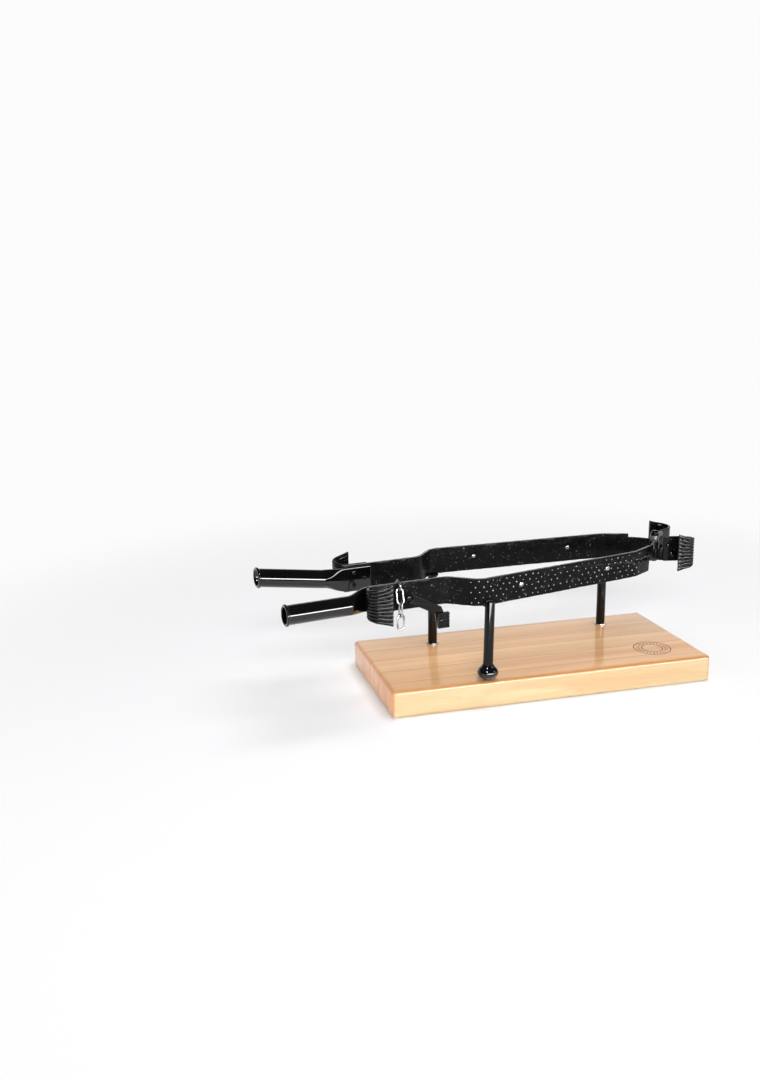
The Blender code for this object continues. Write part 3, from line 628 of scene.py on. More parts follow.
def engravedMark():
    # two rings and a circle of short ticks between them
    centre, depth = mark["centre"], mark["depth"]
    low, high = centre.z - depth, centre.z + 0.002
    half = mark["line"] / 2
    shells = []
    for radius in (mark["radius"], mark["radius"] * 0.56):
        shells.append(washer(radius - half, radius + half, low, high, centre, 0.0001))
    for i in range(mark["ticks"]):
        points, faces = block((mark["radius"] * 0.68, -half, low), (mark["radius"] * 0.86, half, high))
        spin = Matrix.Rotation(2 * math.pi * i / mark["ticks"], 3, "Z")
        shells.append(([centre + spin @ Vector(p) - Vector((0, 0, centre.z)) for p in points], faces))
    return shells


def makeBoard(look):
    low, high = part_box("board")
    shape = bmesh.new()
    size = high - low
    bmesh.ops.create_cube(shape, size=1.0, matrix=Matrix.Translation((low + high) / 2)
                          @ Matrix.Diagonal((*size, 1)))
    bmesh.ops.bevel(shape, geom=shape.edges[:], offset=look["round"], segments=look["steps"],
                    affect="EDGES", profile=0.5)
    mesh = bpy.data.meshes.new("board_wood")
    shape.to_mesh(mesh)
    shape.free()
    cuts = []
    for post in ("rear_left_post", "rear_right_post"):
        centre = upright(post)["centre"]
        bore = [(0, high.z + 0.01), (look["bore"], high.z + 0.01), (look["bore"], -0.01), (0, -0.01)]
        recess = [(0, look["counterboreDepth"]), (look["counterbore"], look["counterboreDepth"]),
                  (look["counterbore"], -0.01), (0, -0.01)]
        cuts += [("DIFFERENCE", [lathe(bore, centre, 32)]), ("DIFFERENCE", [lathe(recess, centre, 48)])]
    cuts.append(("DIFFERENCE", engravedMark()))
    board = joinOrCut(loose("board_wood", mesh), cuts)
    return settle(board, boardWood, "stand", ["board"], 30)


makeBoard(boardLook)
print("board made")


# posts and their hardware
postLook = {"edge": 0.0008, "stud": 0.004, "threadStep": 0.0006, "threadDepth": 0.0003,
            "beadStep": 0.0013, "beadRadius": 0.0017}


def makePost(name, look):
    post = upright(name + "_post")
    centre, radius = post["centre"], post["radius"]
    seat, end = upright(name + "_foot_washer")["high"] + gap, post["low"]
    thread = [(look["stud"] - look["threadDepth"] * (i % 2), seat - 0.0010 - look["threadStep"] * i)
              for i in range(int((seat - end - 0.002) / look["threadStep"]))]
    profile = rounded([(0, post["high"]), (radius, post["high"], look["edge"]),
                       (radius, seat, 0.0004), (look["stud"], seat)], 22.5)
    profile += [Vector(p) for p in thread] + [Vector((look["stud"] - 0.001, end)), Vector((0, end))]
    rod = loose(name + "_rod", meshFrom("rod", [lathe(profile, centre)]))
    settle(rod, blackPaint, "stand", [name + "_post"])
    for level in ("_foot", "_under"):
        makeRing(name + level + "_ring", name + level + "_washer", look["stud"] + gap, centre, zinc)
    softCopy(name + "_nut", zinc, 0.0005)
    line = [(centre.x + radius * math.cos(a), centre.y + radius * math.sin(a), post["high"] - 0.0002)
            for a in np.linspace(0, 2 * math.pi, 40)]
    makeWeld(name + "_weld", line, look, "stand")


def meshLine(points):
    mesh = bpy.data.meshes.new("line")
    mesh.from_pydata([tuple(p) for p in points], [(i, i + 1) for i in range(len(points) - 1)], [])
    return mesh


def makeWeld(name, line, look, body):
    bead = grow(name, meshLine(line), weldShape, blackPaint, Step=look["beadStep"], Radius=look["beadRadius"])
    settle(bead, blackPaint, body, ())


weldShape = weldTree()
for name in ("rear_left", "rear_right"):
    makePost(name, postLook)
print("posts made")


# jaws: hammered flat bar
jawLook = {"thickness": 0.004, "corner": 0.0009, "step": 0.0012, "rows": 20,
           "armEnd": 0.436, "armOffset": 0.0385, "shoulderInner": 0.334, "shoulderOuter": 0.3033,
           "shoulderOffset": 0.0674, "cheekEnd": 0.060, "cheekOffset": 0.0403, "neckEnd": 0.020,
           "neckOffset": 0.021, "frontStep": 0.029, "frontRise": 0.013, "rearStep": 0.026,
           "rearDrop": 0.005, "dimple": 0.0050, "dimpleDepth": 0.00034, "waveDepth": 0.00030,
           "waveSize": 0.03, "edgeWave": 0.00030, "edgeWaveSize": 0.016, "creaseDepth": 0.0012,
           "creaseWidth": 0.0014, "notchRun": 0.0008, "tongueRun": 0.0006, "rubWidth": 0.0012,
           # (distance from the pin, height) along the crease on the outer face
           "crease": [(0.020, 0.1405), (0.040, 0.1425), (0.121, 0.1497), (0.185, 0.1546), (0.285, 0.1585)]}


def jawLine(look):
    return rounded([(look["armEnd"], look["armOffset"]),
                    (look["shoulderInner"], look["armOffset"], 0.020),
                    (look["shoulderOuter"], look["shoulderOffset"], 0.022),
                    (look["cheekEnd"], look["cheekOffset"], 0.035),
                    (look["neckEnd"], look["neckOffset"], 0.006),
                    (0.0032, 0.0036)])


def traced(path):
    # the distance along a plan line at each of its points, and the points as an array
    steps = [0.0] + [(b - a).length for a, b in zip(path, path[1:])]
    return np.cumsum(steps), np.array([tuple(p) for p in path])


def spread(where, marks, values):
    return np.stack([np.interp(where, marks, values[:, k]) for k in (0, 1)], 1)


def stations(length, step, corner, extra=()):
    # even steps, closer at the two ends where the edge is rounded over
    ends = [corner * share for share in (0.0, 0.12, 0.35, 0.65, 1.0)]
    even = np.linspace(corner, length - corner, max(4, int(length / step)))
    return np.unique(np.round(np.concatenate([ends, even, length - np.array(ends), extra]), 6))


def sweepStrip(path, side, low, high, look, relief=None, extra=()):
    # an upright strip with rounded edges along a plan line; low and high are functions of the
    # distance along it, and relief moves a face outwards by a depth for (distance, z, face)
    marks, line = traced(path)
    corner, half = look["corner"], look["thickness"] / 2
    where = stations(marks[-1], look["step"], corner, extra)
    centre = spread(where, marks, line)
    tangent = spread(where, marks, np.gradient(line, marks, axis=0))
    tangent /= np.linalg.norm(tangent, axis=1)[:, None]
    normal = np.stack([-tangent[:, 1], tangent[:, 0]], 1)

    # the section as shares: face rows up one side, a round edge, down the other, a round edge
    rows = np.linspace(0, 1, look["rows"])
    arc = np.radians(np.linspace(0, 180, 7))[1:-1]
    across = np.concatenate([np.ones(len(rows)), np.cos(arc), -np.ones(len(rows)), -np.cos(arc)])
    face = np.concatenate([np.ones(len(rows)), 0 * arc, -np.ones(len(rows)), 0 * arc])
    level = np.concatenate([rows, 1 + 0 * arc, rows[::-1], 0 * arc])
    bulge = np.concatenate([0 * rows, np.sin(arc), 0 * rows, -np.sin(arc)])

    near = np.minimum(where, marks[-1] - where)
    inset = corner - np.sqrt(np.maximum(0, corner ** 2 - np.maximum(0, corner - near) ** 2))
    bottom, top = low(where) + inset, high(where) - inset
    edge = np.maximum(corner - inset, 0.00005)
    thick = half - inset
    z = (bottom + edge)[:, None] + (top - bottom - 2 * edge)[:, None] * level + edge[:, None] * bulge
    flatHalf = (thick - edge)[:, None]
    n = flatHalf * np.sign(across) + edge[:, None] * across
    n = np.where(np.abs(across) < 1e-9, 0, n)
    if relief is not None:
        fade = np.clip(near / 0.003, 0, 1)[:, None]
        n = n + relief(where[:, None] + 0 * z, z, face + 0 * z) * face * fade
    u = centre[:, 0:1] + normal[:, 0:1] * n
    v = centre[:, 1:2] + normal[:, 1:2] * n
    points = (np.array(pin) + u[..., None] * np.array(along) + (v * side)[..., None] * np.array(outFront))
    points[..., 2] = z
    return (points.reshape(-1, 3), skin(len(where), len(level))), (where, z, face)


def jittered(cells, seed):
    return np.random.default_rng(seed).random(cells + (2,))


def dimples(s, z, size, seed):
    # distance to the nearest of a scatter of hammer strikes, one in each square cell
    spots = jittered((97, 61), seed)
    x, y = s / size, z / size
    i, j = np.floor(x).astype(int), np.floor(y).astype(int)
    nearest = np.full(x.shape, 9.0)
    for di in (-1, 0, 1):
        for dj in (-1, 0, 1):
            spot = spots[(i + di) % 97, (j + dj) % 61]
            gapTo = np.hypot(i + di + spot[..., 0] - x, j + dj + spot[..., 1] - y)
            nearest = np.minimum(nearest, gapTo)
    return np.clip(nearest, 0, 1)


def waves(s, z, size, seed):
    # smooth undulation from a few crossing sines
    spots = np.random.default_rng(seed).random((6, 3))
    total = 0
    for a, b, phase in spots:
        turn = a * math.pi
        total = total + np.sin((s * math.cos(turn) + z * math.sin(turn)) * (0.6 + b)
                               / size * 2 * math.pi + phase * 6.283)
    return total / 6


def jawRelief(half, look):
    marks, line = traced(jawLine(look))
    seed = 11 if half == "front" else 23
    crease = np.array(look["crease"])
    first, last = crease[0, 0], crease[-1, 0]
    lift = stripLow[half] - stripLow["front"]

    def relief(s, z, face):
        u = np.interp(s, marks, line[:, 0])
        strikes = dimples(s, z, look["dimple"], seed + 1)
        swell = waves(s, z, look["waveSize"], seed) * look["waveDepth"]
        depth = (strikes ** 2 - 0.4) * look["dimpleDepth"] + swell
        level = np.interp(u, crease[:, 0], crease[:, 1]) + lift
        below = (z - level) / look["creaseWidth"]
        fade = np.clip((last - u) / 0.02, 0, 1) * np.clip((u - first - 0.004) / 0.01, 0, 1)
        groove = -np.exp(-below ** 2) + 0.45 * np.exp(-(below - 2.0) ** 2)
        return depth + groove * fade * look["creaseDepth"] * (face * -1 > 0)

    return relief


def stepAt(path, u):
    marks, line = traced(path)
    return float(np.interp(-u, -line[:, 0], marks))


tailLook = {"start": -0.0065, "offset": 0.0112, "slope": -0.405, "bend": -0.0275, "tongueEnd": -0.0225,
            "bulge": 0.011, "lip": 0.006, "thickness": 0.003}


def tongueLine(look, tail):
    run = look["thickness"] / 2 + gap + tail["thickness"] / 2
    inside = tail["offset"] - run * math.hypot(1, tail["slope"])
    return rounded([(-0.0032, 0.0036),
                    (-0.0062, inside - tail["slope"] * (tail["start"] + 0.0062), 0.002),
                    (tail["tongueEnd"], inside + tail["slope"] * (tail["tongueEnd"] - tail["start"]))])


hingeLook = {"knuckle": 0.0062, "bore": 0.0033, "split": 0.44, "washer": 0.001, "edge": 0.0004,
             "clearance": 0.0013}


def makeJaw(half, look, tail, hinge):
    side = sideOf[half]
    low, high = stripLow[half], stripLow[half] + stripHeight
    path = jawLine(look)
    rearLow = stripLow["rear"]
    split = rearLow + stripHeight * hinge["split"]
    seed = 5 if half == "front" else 8
    step = stepAt(path, look[half + "Step"])
    if half == "front":
        bossLow, bossHigh = split + hinge["washer"] / 2 + gap, rearLow + stripHeight
    else:
        bossLow, bossHigh = rearLow, split - hinge["washer"] / 2 - gap

    def edgeWave(s, shift):
        return waves(s, s * 0 + shift, look["edgeWaveSize"], seed) * look["edgeWave"]

    def bottom(s):
        rise = look["frontRise"] if half == "front" else 0
        return low + edgeWave(s, 0.1) + rise * np.clip((s - step) / look["notchRun"], 0, 1)

    def top(s):
        drop = look["rearDrop"] if half == "rear" else 0
        return high - 0.0002 + edgeWave(s, 0.3) - drop * np.clip((s - step) / look["notchRun"], 0, 1)

    fine = step + np.array([-0.0004, 0.0, 0.0002, 0.0004, 0.0006, 0.0008, 0.0012])
    band, _ = sweepStrip(path, side, bottom, top, look, jawRelief(half, look), fine)
    jaw = loose(half + "_jaw_bar", meshFrom("jaw", [band]))

    tongueLow = bossLow if half == "front" else rearLow
    tongueHigh = rearLow + stripHeight if half == "front" else bossHigh
    tonguePath = tongueLine(look, tail)
    away = stepAt([Vector((-p.x, p.y)) for p in tonguePath], -tail["start"])

    def tongueBottom(s):
        return rearLow + (tongueLow - rearLow) * np.clip((away - s) / look["tongueRun"], 0, 1)

    def tongueTop(s):
        full = rearLow + stripHeight
        return full + (tongueHigh - full) * np.clip((away - s) / look["tongueRun"], 0, 1)

    flat = dict(look, rows=6, step=0.0015)
    tongue, _ = sweepStrip(tonguePath, -side, tongueBottom, tongueTop, flat,
                           extra=away + np.array([-0.0006, -0.0003, 0.0]))
    knuckle = rounded([(0, bossHigh), (hinge["knuckle"], bossHigh, hinge["edge"]),
                       (hinge["knuckle"], bossLow, hinge["edge"]), (0, bossLow)], 22.5)
    clearLow, clearHigh = (0.0, bossLow) if half == "front" else (bossHigh, 1.0)
    clear = hinge["knuckle"] + hinge["clearance"]
    sweep = [(0, clearHigh), (clear, clearHigh), (clear, clearLow), (0, clearLow)]
    bore = [(0, 1.0), (hinge["bore"], 1.0), (hinge["bore"], 0.0), (0, 0.0)]
    steps = [("DIFFERENCE", [lathe(sweep, pin, 48)]), ("UNION", [tongue]),
             ("UNION", [lathe(knuckle, pin, 48)]), ("DIFFERENCE", [lathe(bore, pin, 32)])]
    jaw = joinOrCut(jaw, steps)
    mesh = jaw.data
    heights = np.array([v.co.z for v in mesh.vertices])
    rub = np.clip(1 - np.minimum(heights - low, high - heights) / look["rubWidth"], 0, 1)
    mesh.attributes.new("wear", "FLOAT", "POINT").data.foreach_set("value", rub)
    return settle(jaw, hammeredPaint, bodyOf[half], [half + "_jaw"], 38)


for half in sideOf:
    makeJaw(half, jawLook, tailLook, hingeLook)
print("jaws made")


# pimples raised on the outer face of both cheeks
pimpleLook = {"pitch": 0.0096, "rowPitch": 0.0064, "rows": 5, "radius": 0.00095, "from": 0.322,
              "to": 0.034, "height": 0.62}
pimpleShape = pimpleTree()


def makePimples(half, look):
    side = sideOf[half]
    path = [p for p in jawLine(jawLook) if look["to"] < p.x < look["from"]]
    marks, line = traced(path)
    where = np.linspace(0, marks[-1], 240)
    points = spread(where, marks, line)
    tangent = np.gradient(points, axis=0)
    tangent /= np.linalg.norm(tangent, axis=1)[:, None]
    outer = points + np.stack([tangent[:, 1], -tangent[:, 0]], 1) * jawLook["thickness"] / 2
    mid = stripLow[half] + stripHeight / 2
    base = meshLine([place(u, v, side, mid) for u, v in outer])
    dots = grow(half + "_jaw_pimples", base, pimpleShape, pimpleHighlightPaint, Pitch=look["pitch"],
                Rows=look["rows"], Radius=look["radius"], Side=float(-side), Height=look["height"],
                Seed=4 + side, **{"Row Pitch": look["rowPitch"]})
    # full wear on every pimple turns it pale bare metal: painted highlights, not rubbing
    dots.data.attributes.new("wear", "FLOAT", "POINT").data.foreach_set(
        "value", np.full(len(dots.data.vertices), 1.0))
    settle(dots, pimpleHighlightPaint, bodyOf[half], (), 60)


for half in sideOf:
    makePimples(half, pimpleLook)
print("pimples raised")


# ribbed fishtail scrolls
scrollLook = {"start": 0.4043, "bend": 0.4285, "radius": 0.0135, "tip": 0.4170, "flare": 0.0165,
              "flarePower": 2.2, "thickness": 0.003, "corner": 0.0007, "step": 0.0008, "rows": 92,
              "ribs": 10, "ribDepth": 0.0011, "wobble": 0.16, "wobbleSize": 0.012, "nick": 0.0042,
              "fadeIn": 0.006}


def scrollLine(look):
    v0 = jawLook["armOffset"] + (jawLook["thickness"] + look["thickness"]) / 2 + gap
    r = look["radius"]
    swell = look["bend"] + r
    return rounded([(look["start"], v0), (swell, v0, r * 0.97),
                    (swell - r / 10, v0 + r * 1.85, r * 0.9), (look["tip"], v0 + r * 2.05)])


def tailLine(tail, reach, drop, tip):
    bend = tail["bend"] - reach
    atBend = tail["offset"] + tail["slope"] * (bend - tail["start"])
    return rounded([(tail["start"], tail["offset"]), (bend, atBend, 0.012),
                    (bend - tail["bulge"], atBend + drop / 2, 0.010),
                    (bend - gap, atBend + drop, 0.009), (bend + tip, atBend + drop - tail["lip"])])


def makeScroll(name, path, half, convex, flat, low, look, nodes, body):
    length = traced(path)[0][-1]
    high = low + stripHeight
    seed = sum(ord(letter) for letter in name)

    def grown(s):
        return look["flare"] / 2 * np.clip((s - flat) / (length - flat), 0, 1) ** look["flarePower"]

    def bottom(s):
        return low - grown(s)

    def top(s):
        return high + grown(s)

    def ridge(s, z):
        share = (z - bottom(s)) / (top(s) - bottom(s))
        wobble = waves(s, z, look["wobbleSize"], seed) * look["wobble"]
        return np.abs(np.sin(math.pi * (look["ribs"] * share + wobble))) ** 0.75

    def relief(s, z, face):
        fadeIn = np.clip((s - flat - 0.001) / look["fadeIn"], 0, 1)
        fadeIn = fadeIn * fadeIn * (3 - 2 * fadeIn)
        nicks = 1 - 0.45 * (1 - dimples(s, z, look["nick"], seed + 1)) ** 2
        outer = (ridge(s, z) - 0.62) * look["ribDepth"] * nicks
        inner = (0.5 - ridge(s, z)) * look["ribDepth"] * 0.25
        return np.where(face * convex > 0, outer, inner) * fadeIn

    strip, (where, z, face) = sweepStrip(path, sideOf[half], bottom, top, look, relief)
    s = where[:, None] + 0 * z
    crest = ridge(s, z) ** 6 * np.clip((s - flat) / look["fadeIn"], 0, 1) * (face * convex > 0)
    rim = np.exp(-(length - s) / 0.0012) * 0.7
    wear = np.clip(crest * 0.7 + rim, 0, 1)
    thing = loose(name, meshFrom(name, [strip], {"wear": wear}))
    return settle(thing, ribbedPaint, body, nodes, 50)


for half in sideOf:
    makeScroll(half + "_arm_fishtail", scrollLine(scrollLook), half, -1,
               scrollLook["bend"] - scrollLook["start"], stripLow[half], scrollLook,
               [half + "_arm_scroll"], bodyOf[half])
tails = {"rear": dict(reach=0.016, drop=0.024, tip=0.0185, body="front_half"),
         "front": dict(reach=0.0, drop=0.025, tip=0.0178, body="stand")}
for half, tail in tails.items():
    makeScroll(half + "_tail_fishtail", tailLine(tailLook, tail["reach"], tail["drop"], tail["tip"]), half, 1,
               abs(tailLook["bend"] - tail["reach"] - tailLook["start"]), stripLow["rear"],
               dict(scrollLook, thickness=tailLook["thickness"]), [half + "_tail"], tail["body"])
print("scrolls made")


# tube handles
handleLook = {"radius": 0.0115, "wall": 0.0017, "rim": 0.0018, "plateThickness": 0.004,
              "plateHeight": 0.029, "plateStart": 0.4015, "tubeStart": 0.462, "end": 0.541, "sides": 64,
              "plateEdge": 0.0012, "squareness": 0.80}
handleSet = {"front": {"splay": 0.005, "rise": 0.0005}, "rear": {"splay": 0.0175, "rise": 0.007}}


def makeHandle(half, look, lean):
    side = sideOf[half]
    flatV = jawLook["armOffset"] - jawLook["thickness"] / 2 - gap - look["plateThickness"] / 2
    mid = stripLow[half] + stripHeight / 2
    halfThick, halfTall = look["plateThickness"] / 2, look["plateHeight"] / 2
    tubeV, tubeZ = jawLook["armOffset"] + 0.004, mid - 0.002 * side
    run = look["end"] - look["tubeStart"]
    armEnd = jawLook["armEnd"]

    def axis(u):
        share = (u - look["tubeStart"]) / run
        return u, tubeV + lean["splay"] * share, tubeZ + lean["rise"] * share

    sections = []
    edge = look["plateEdge"]
    for k in range(5):                  # rounded end of the flattened plate
        turn = math.radians(90 * k / 4)
        pull = edge * (1 - math.sin(turn))
        sections.append(((look["plateStart"] + edge * (1 - math.cos(turn)), flatV, mid),
                         halfThick - pull * 0.9, halfTall - pull, 1.0))
    for u in np.linspace(look["plateStart"] + 0.003, armEnd, 12):
        sections.append(((u, flatV, mid), halfThick, halfTall, 1.0))
    taper = look["tubeStart"] - armEnd
    for share in np.linspace(0.04, 1.0, 26):
        ease = share * share * (3 - 2 * share)
        middleOf = (armEnd + taper * share, flatV + (tubeV - flatV) * ease, mid + (tubeZ - mid) * ease)
        sections.append((middleOf, halfThick + (look["radius"] - halfThick) * ease,
                         halfTall + (look["radius"] - halfTall) * ease, (1 - ease) ** 1.3))
    roll = look["rim"]
    rimU, rimR = look["end"] - roll, look["radius"] - look["wall"] + roll * 0.78
    for u in np.linspace(look["tubeStart"] + 0.004, rimU - roll * 1.6, 14):
        sections.append((axis(u), look["radius"], look["radius"], 0.0))
    for turn in np.radians(np.linspace(165, -55, 16)):
        radius = rimR + roll * math.sin(turn)
        sections.append((axis(rimU + roll * math.cos(turn)), radius, radius, 0.0))
    inner = look["radius"] - look["wall"]
    for u in (rimU - 0.004, rimU - 0.02, look["tubeStart"] + 0.012, look["tubeStart"] + 0.009):
        sections.append((axis(u), inner, inner, 0.0))
    sections.append((axis(look["tubeStart"] + 0.008), inner * 0.8, inner * 0.8, 0.0))
    points = []
    for (u, v, z), thick, tall, squash in sections:
        for i in range(look["sides"]):
            turn = 2 * math.pi * i / look["sides"]
            c, s = math.cos(turn), math.sin(turn)
            power = 1 - look["squareness"] * squash      # a superellipse: round tube to flat plate
            c = math.copysign(abs(c) ** power, c)
            s = math.copysign(abs(s) ** power, s)
            points.append(place(u, v + thick * c, side, z + tall * s))
    faces = skin(len(sections), look["sides"])
    thing = loose(half + "_tube_handle", meshFrom("handle", [(points, faces)]))
    return settle(thing, tubePaint, bodyOf[half], [half + "_handle"], 40)


for half in sideOf:
    makeHandle(half, handleLook, handleSet[half])
print("handles made")


# rivets and studs
rivetLook = {"head": 0.0036, "rise": 0.0016, "shank": 0.002}
rivetShape = rivetTree()


def makeRivets(name, spots, grip, look, finish, body, nodes):
    # spots are (point, facing) with the point on the outer face
    mesh = bpy.data.meshes.new(name)
    mesh.from_pydata([tuple(p) for p, _ in spots], [], [])
    facing = mesh.attributes.new("facing", "FLOAT_VECTOR", "POINT")
    facing.data.foreach_set("vector", np.ravel([tuple(f) for _, f in spots]))
    rivets = grow(name, mesh, rivetShape, finish, Head=look["head"], Rise=look["rise"],
                  Shank=look["shank"], Grip=grip)
    return settle(rivets, finish, body, nodes, 60)


def headSpot(node, facing, rise=0.0016):
    # where a rivet's head sits: its outer end along facing, less the head's rise
    reach = max(v.co.dot(facing) for v in frame["nodes"][node].data.vertices)
    centre = middle(node)
    return centre + facing * (reach - centre.dot(facing) - rise)


cheekSlope = ((jawLook["shoulderOffset"] - jawLook["cheekOffset"])
              / (jawLook["shoulderOuter"] - jawLook["cheekEnd"]))


def facingOf(side, slope=0.0):
    return (outFront * side - along * slope).normalized()


for half, side in sideOf.items():
    sets = (("arm_rivet", 3, 0.0, 0.0115, rivetLook, blackPaint, bodyOf[half]),
            ("cheek_stud", 2, cheekSlope, 0.004, dict(rivetLook, rise=0.0018), studWearAndSheenSteel, bodyOf[half]),
            ("tail_rivet", 2, tailLook["slope"], 0.0075, rivetLook, blackPaint, tails[half]["body"]))
    for kind, count, slope, grip, look, finish, body in sets:
        nodes = ["%s_%s_%d" % (half, kind, i + 1) for i in range(count)]
        face = facingOf(side, slope)
        makeRivets("%s_%ss" % (half, kind), [(headSpot(n, face), face) for n in nodes], grip, look, finish,
                   body, nodes)
face = facingOf(1)
makeRivets("latch_pivot", [(headSpot("latch_pin", face), face)], 0.0073, rivetLook, blackPaint,
           "front_half", ["latch_pin"])
makeRivets("latch_pad_head", [(headSpot("latch_pad_rivet", face), face)], 0.0078,
           dict(rivetLook, head=0.0032), blackPaint, "latch", ["latch_pad_rivet"])
print("rivets set")


# hinge
def makeHinge(look):
    post = upright("hinge_pin")
    cap = upright("hinge_top_washer")
    head, top, under = post["radius"], post["high"], cap["high"] + gap
    shank = look["bore"] - gap
    low = post["low"]
    lip = 0.0012                                     # height of the head's rim and of the closing head
    closed = low + lip
    profile = rounded([(0, top), (head * 0.72, top, 0.0022), (head, under + lip, lip),
                       (head, under, 0.0003), (shank, under), (shank, closed), (shank * 1.5, closed),
                       (shank * 1.3, low, 0.0005), (0, low)], 15)
    pinThing = loose("hinge_rivet", meshFrom("pin", [lathe(profile, pin)]))
    settle(pinThing, darkSteel, "stand", ["hinge_pin"])
    for node in ("hinge_top_washer", "hinge_middle_washer"):
        makeRing(node + "_ring", node, look["bore"], pin, darkSteel, 0.00025)


makeHinge(hingeLook)


# front leg with its ball foot
legLook = {"u": 0.2916, "lap": 0.006, "inset": 0.0003, "socket": 0.012, "neck": 0.0074,
           "beadRadius": 0.0014, "beadStep": 0.0011, "ballHalf": 0.009}


def makeLeg(look):
    foot = upright("front_foot")
    centre = foot["centre"]
    radius = upright("rear_left_post")["radius"]
    face = (jawLook["cheekOffset"] + (jawLook["shoulderOffset"] - jawLook["cheekOffset"])
            * (look["u"] - jawLook["cheekEnd"]) / (jawLook["shoulderOuter"] - jawLook["cheekEnd"]))
    head = place(look["u"], face + radius - look["inset"], 1, stripLow["front"] + look["lap"])
    heel = centre + Vector((0, 0, foot["low"] + look["socket"]))
    length, turn = (head - heel).length, (head - heel).to_track_quat("Z", "Y")
    profile = rounded([(0, length), (radius, length, 0.0010), (radius, 0), (0, 0)], 15)
    points, faces = lathe(profile, Vector())
    points = [heel + turn @ Vector(p) for p in points]
    rod = loose("front_leg_rod", meshFrom("rod", [(points, faces)]))
    outward = facingOf(1, cheekSlope)
    sideways = Vector((-outward.y, outward.x, 0))
    wall = place(look["u"], face, 1) + outward * (jawLook["thickness"] / 2)
    deep, bar = 0.03, stripLow["front"]
    corners, faces = block((-deep, -deep, bar - 0.0001), (deep, 0, 0.2))
    notch = [wall + sideways * x + outward * y + Vector((0, 0, z)) for x, y, z in corners]
    rod = joinOrCut(rod, [("DIFFERENCE", [(notch, faces)])])
    settle(rod, blackPaint, "front_half", ["front_leg"])

    line = []
    for x, z in ((-1, -0.001), (-1, 0.6), (-0.8, 0.95), (0, 1.05), (0.8, 0.95), (1, 0.6), (1, -0.001)):
        line.append(wall + sideways * (x * radius * 0.98) + Vector((0, 0, bar + z * look["lap"])))
    makeWeld("front_leg_weld", line, look, "front_half")

    ball, half = foot["radius"], look["ballHalf"]
    mid = foot["low"] + half
    outline = [(0, foot["low"]), (ball * 0.42, foot["low"])]
    for turn in np.radians(np.linspace(-62, 48, 22)):
        outline.append((ball * math.cos(turn), mid + half * math.sin(turn)))
    collar = mid + half * 0.86
    outline += [(look["neck"] + 0.0006, collar), (look["neck"], collar + 0.0008),
                (look["neck"] - 0.0003, collar + 0.0014), (radius - 0.0006, collar + 0.0018),
                (0, collar + 0.0018)]
    ballFoot = loose("front_ball_foot", meshFrom("foot", [lathe(outline, centre, 64)]))
    settle(ballFoot, tubePaint, "front_half", ["front_foot"], 50)


makeLeg(legLook)
print("leg made")


# chain
chainLook = {"length": 0.021, "width": 0.0105, "wire": 0.0012, "ring": 0.0154, "lean": 14.4}
linkShape = linkTree()


def makeLink(name, node, length, width, turn, look):
    spot = bpy.data.meshes.new("spot")
    link = grow(name, spot, linkShape, chainSteel, Length=length, Width=width, Wire=look["wire"])
    toUpright = Matrix.Rotation(math.radians(90), 4, "X")     # the tree bends it flat in XY
    link.data.transform(Matrix.Translation(middle(node)) @ turn @ toUpright)
    body = frame["nodes"][node]["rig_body"]
    return settle(link, chainSteel, body, [node], 60)


yaw = Matrix.Rotation(heading, 4, "Z")
cross = Matrix.Rotation(heading + math.pi / 2, 4, "Z")
leaning = yaw @ Matrix.Rotation(math.radians(chainLook["lean"]), 4, "X")
makeLink("chain_ring_wire", "chain_ring", chainLook["ring"], chainLook["ring"], cross, chainLook)
for number, turn in ((1, leaning), (2, cross), (3, yaw)):
    makeLink("chain_link_wire_%d" % number, "chain_link_%d" % number, chainLook["length"],
             chainLook["width"], turn, chainLook)
print("chain made")


# latch
softCopy("latch_lever", blackPaint, 0.0006)
softCopy("latch_pad", blackPaint, 0.0004)
print("latch made")


# floor, light and camera
studio = {"floor": 30.0, "floorColour": (0.71, 0.71, 0.72), "near": 0.40, "far": 1.1, "nearGlow": 0.12,
          "farGlow": 0.97, "sky": (1.0, 1.0, 1.0), "skyStrength": 0.97, "litBy": 0.5,
          "front": (0.07, 0.07, 0.075), "back": (0.85, 0.85, 0.85)}
lights = [{"name": "top", "at": (0.4, -0.1, 2.5), "size": (1.8, 1.4), "power": 58, "diffuseOnly": True},
          {"name": "front", "at": (-0.8, -2.7, 1.6), "size": (1.6, 0.35), "power": 58,
           "diffuseOnly": True},
          {"name": "strip", "at": (0.3, -2.3, 0.34), "size": (3.2, 0.4), "power": 120, "glossOnly": True},
          {"name": "side", "at": (2.1, -1.1, 0.7), "size": (0.16, 1.5), "power": 12, "glossOnly": True},
          {"name": "back", "at": (0.1, 3.2, 1.0), "size": (7.0, 1.7), "power": 24},
          {"name": "left", "at": (-2.6, -0.5, 1.0), "size": (1.2, 1.2), "power": 16, "diffuseOnly": True},
          {"name": "spark", "at": (-0.8, -1.4, 1.7), "size": (0.2, 0.2), "power": 24, "glossOnly": True}]
shot = {"azimuth": -14.97, "elevation": 14.10, "roll": -0.73, "distance": 1.28991,
        "target": (-0.19772, 0.0, 0.19439), "lens": 35.23}


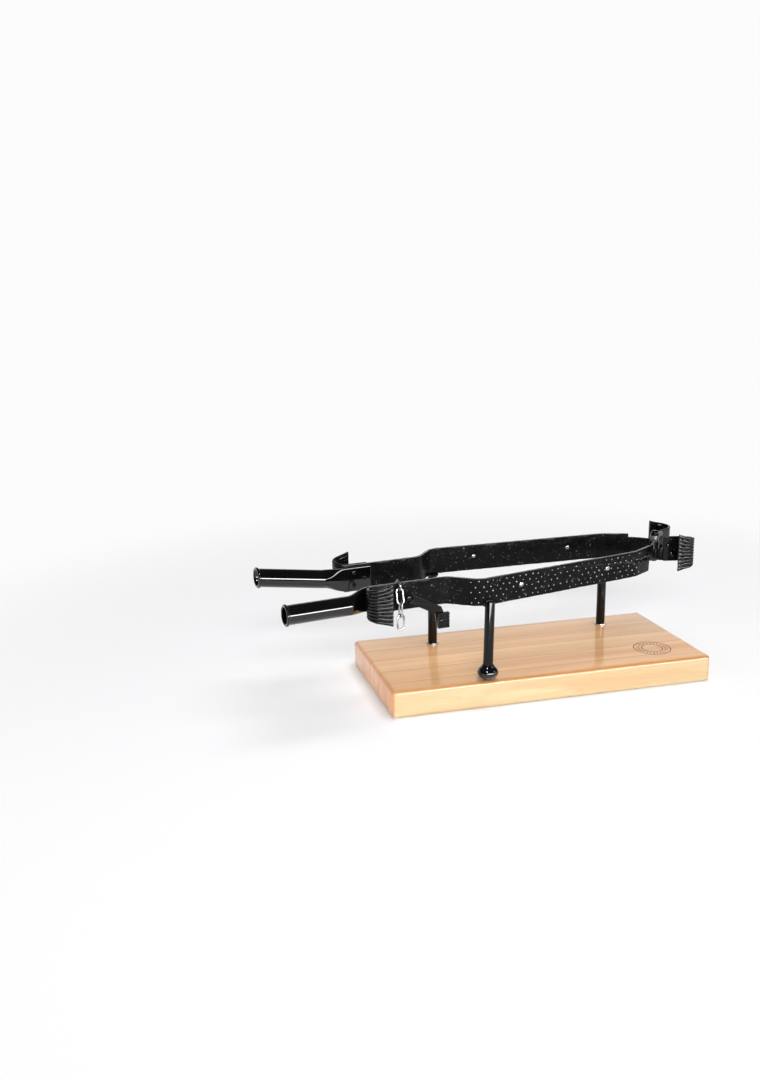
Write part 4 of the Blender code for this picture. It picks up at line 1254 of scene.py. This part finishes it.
def makeFloor(look):
    half = look["floor"] / 2
    mesh = bpy.data.meshes.new("floor")
    mesh.from_pydata([(-half, -half, 0), (half, -half, 0), (half, half, 0), (-half, half, 0)], [],
                     [(0, 1, 2, 3)])
    floor = loose("floor", mesh)
    finish = Finish("pale floor", Roughness=0.9, Emission_Strength=1.0, Specular_IOR_Level=0.0)
    x, y, _ = finish.split(finish.place)
    away = ((x * x + y * y) ** 0.5).ease(look["near"], look["far"])
    glow = (look["nearGlow"],) * 3
    finish.set("Base Color", finish.mix(away, look["floorColour"], (0.0, 0.0, 0.0)))
    finish.set("Emission Color", finish.mix(away, glow, (look["farGlow"],) * 3))
    mesh.materials.append(finish.material)


def makeSky(look):
    world = bpy.data.worlds.new("studio")
    bpy.context.scene.world = world
    world.use_nodes = True
    tree = world.node_tree
    tree.nodes.clear()
    graph = Graph(tree)
    way = graph.node("ShaderNodeTexCoord", out="Generated")
    _, depth, height = graph.split(way)
    behind, lowDown = depth.ease(-0.1, 0.6), 1 - height.ease(0.05, 0.5)
    ramp = graph.node("ShaderNodeValToRGB", {"stops": [(0.0, look["front"]), (1.0, look["back"])]},
                      {"Fac": behind * lowDown})
    seen = graph.node("ShaderNodeLightPath", out="Is Camera Ray")
    lit = graph.node("ShaderNodeBackground", None, {"Color": ramp, "Strength": look["litBy"]})
    plainSky = graph.node("ShaderNodeBackground", None, {"Color": (*look["sky"], 1),
                                                         "Strength": look["skyStrength"]})
    mixed = graph.node("ShaderNodeMixShader", None, {0: seen, 1: lit, 2: plainSky})
    leave = tree.nodes.new("ShaderNodeOutputWorld")
    tree.links.new(mixed.socket, leave.inputs["Surface"])


def makeLight(look):
    lamp = bpy.data.lights.new(look["name"], "AREA")
    lamp.shape = "RECTANGLE"
    lamp.size, lamp.size_y = look["size"]
    lamp.energy = look["power"]
    thing = loose(look["name"] + "_light", lamp)
    thing.location = look["at"]
    aim = Vector(look["at"]) - Vector((0, 0, 0.08))
    thing.rotation_euler = aim.to_track_quat("Z", "Y").to_euler()
    thing.visible_camera = False
    thing.visible_diffuse = not look.get("glossOnly", False)
    thing.visible_glossy = not look.get("diffuseOnly", False)


def makeCamera(look):
    az, el, roll = (math.radians(look[key]) for key in ("azimuth", "elevation", "roll"))
    back = Vector((math.sin(az) * math.cos(el), -math.cos(az) * math.cos(el), math.sin(el)))
    right = (-back).cross(Vector((0, 0, 1))).normalized()
    up = back.cross(right)
    tipped = right * math.cos(roll) + up * math.sin(roll)
    up = up * math.cos(roll) - right * math.sin(roll)
    camera = loose("camera", bpy.data.cameras.new("camera"))
    camera.data.lens = look["lens"]
    camera.data.clip_end = 50
    spot = Vector(look["target"]) + back * look["distance"]
    camera.matrix_world = Matrix.Translation(spot) @ Matrix((tipped, up, back)).transposed().to_4x4()
    bpy.context.scene.camera = camera


makeFloor(studio)
makeSky(studio)
for look in lights:
    makeLight(look)
makeCamera(shot)
bpy.context.scene.view_settings.view_transform = "Standard"
print("studio made")
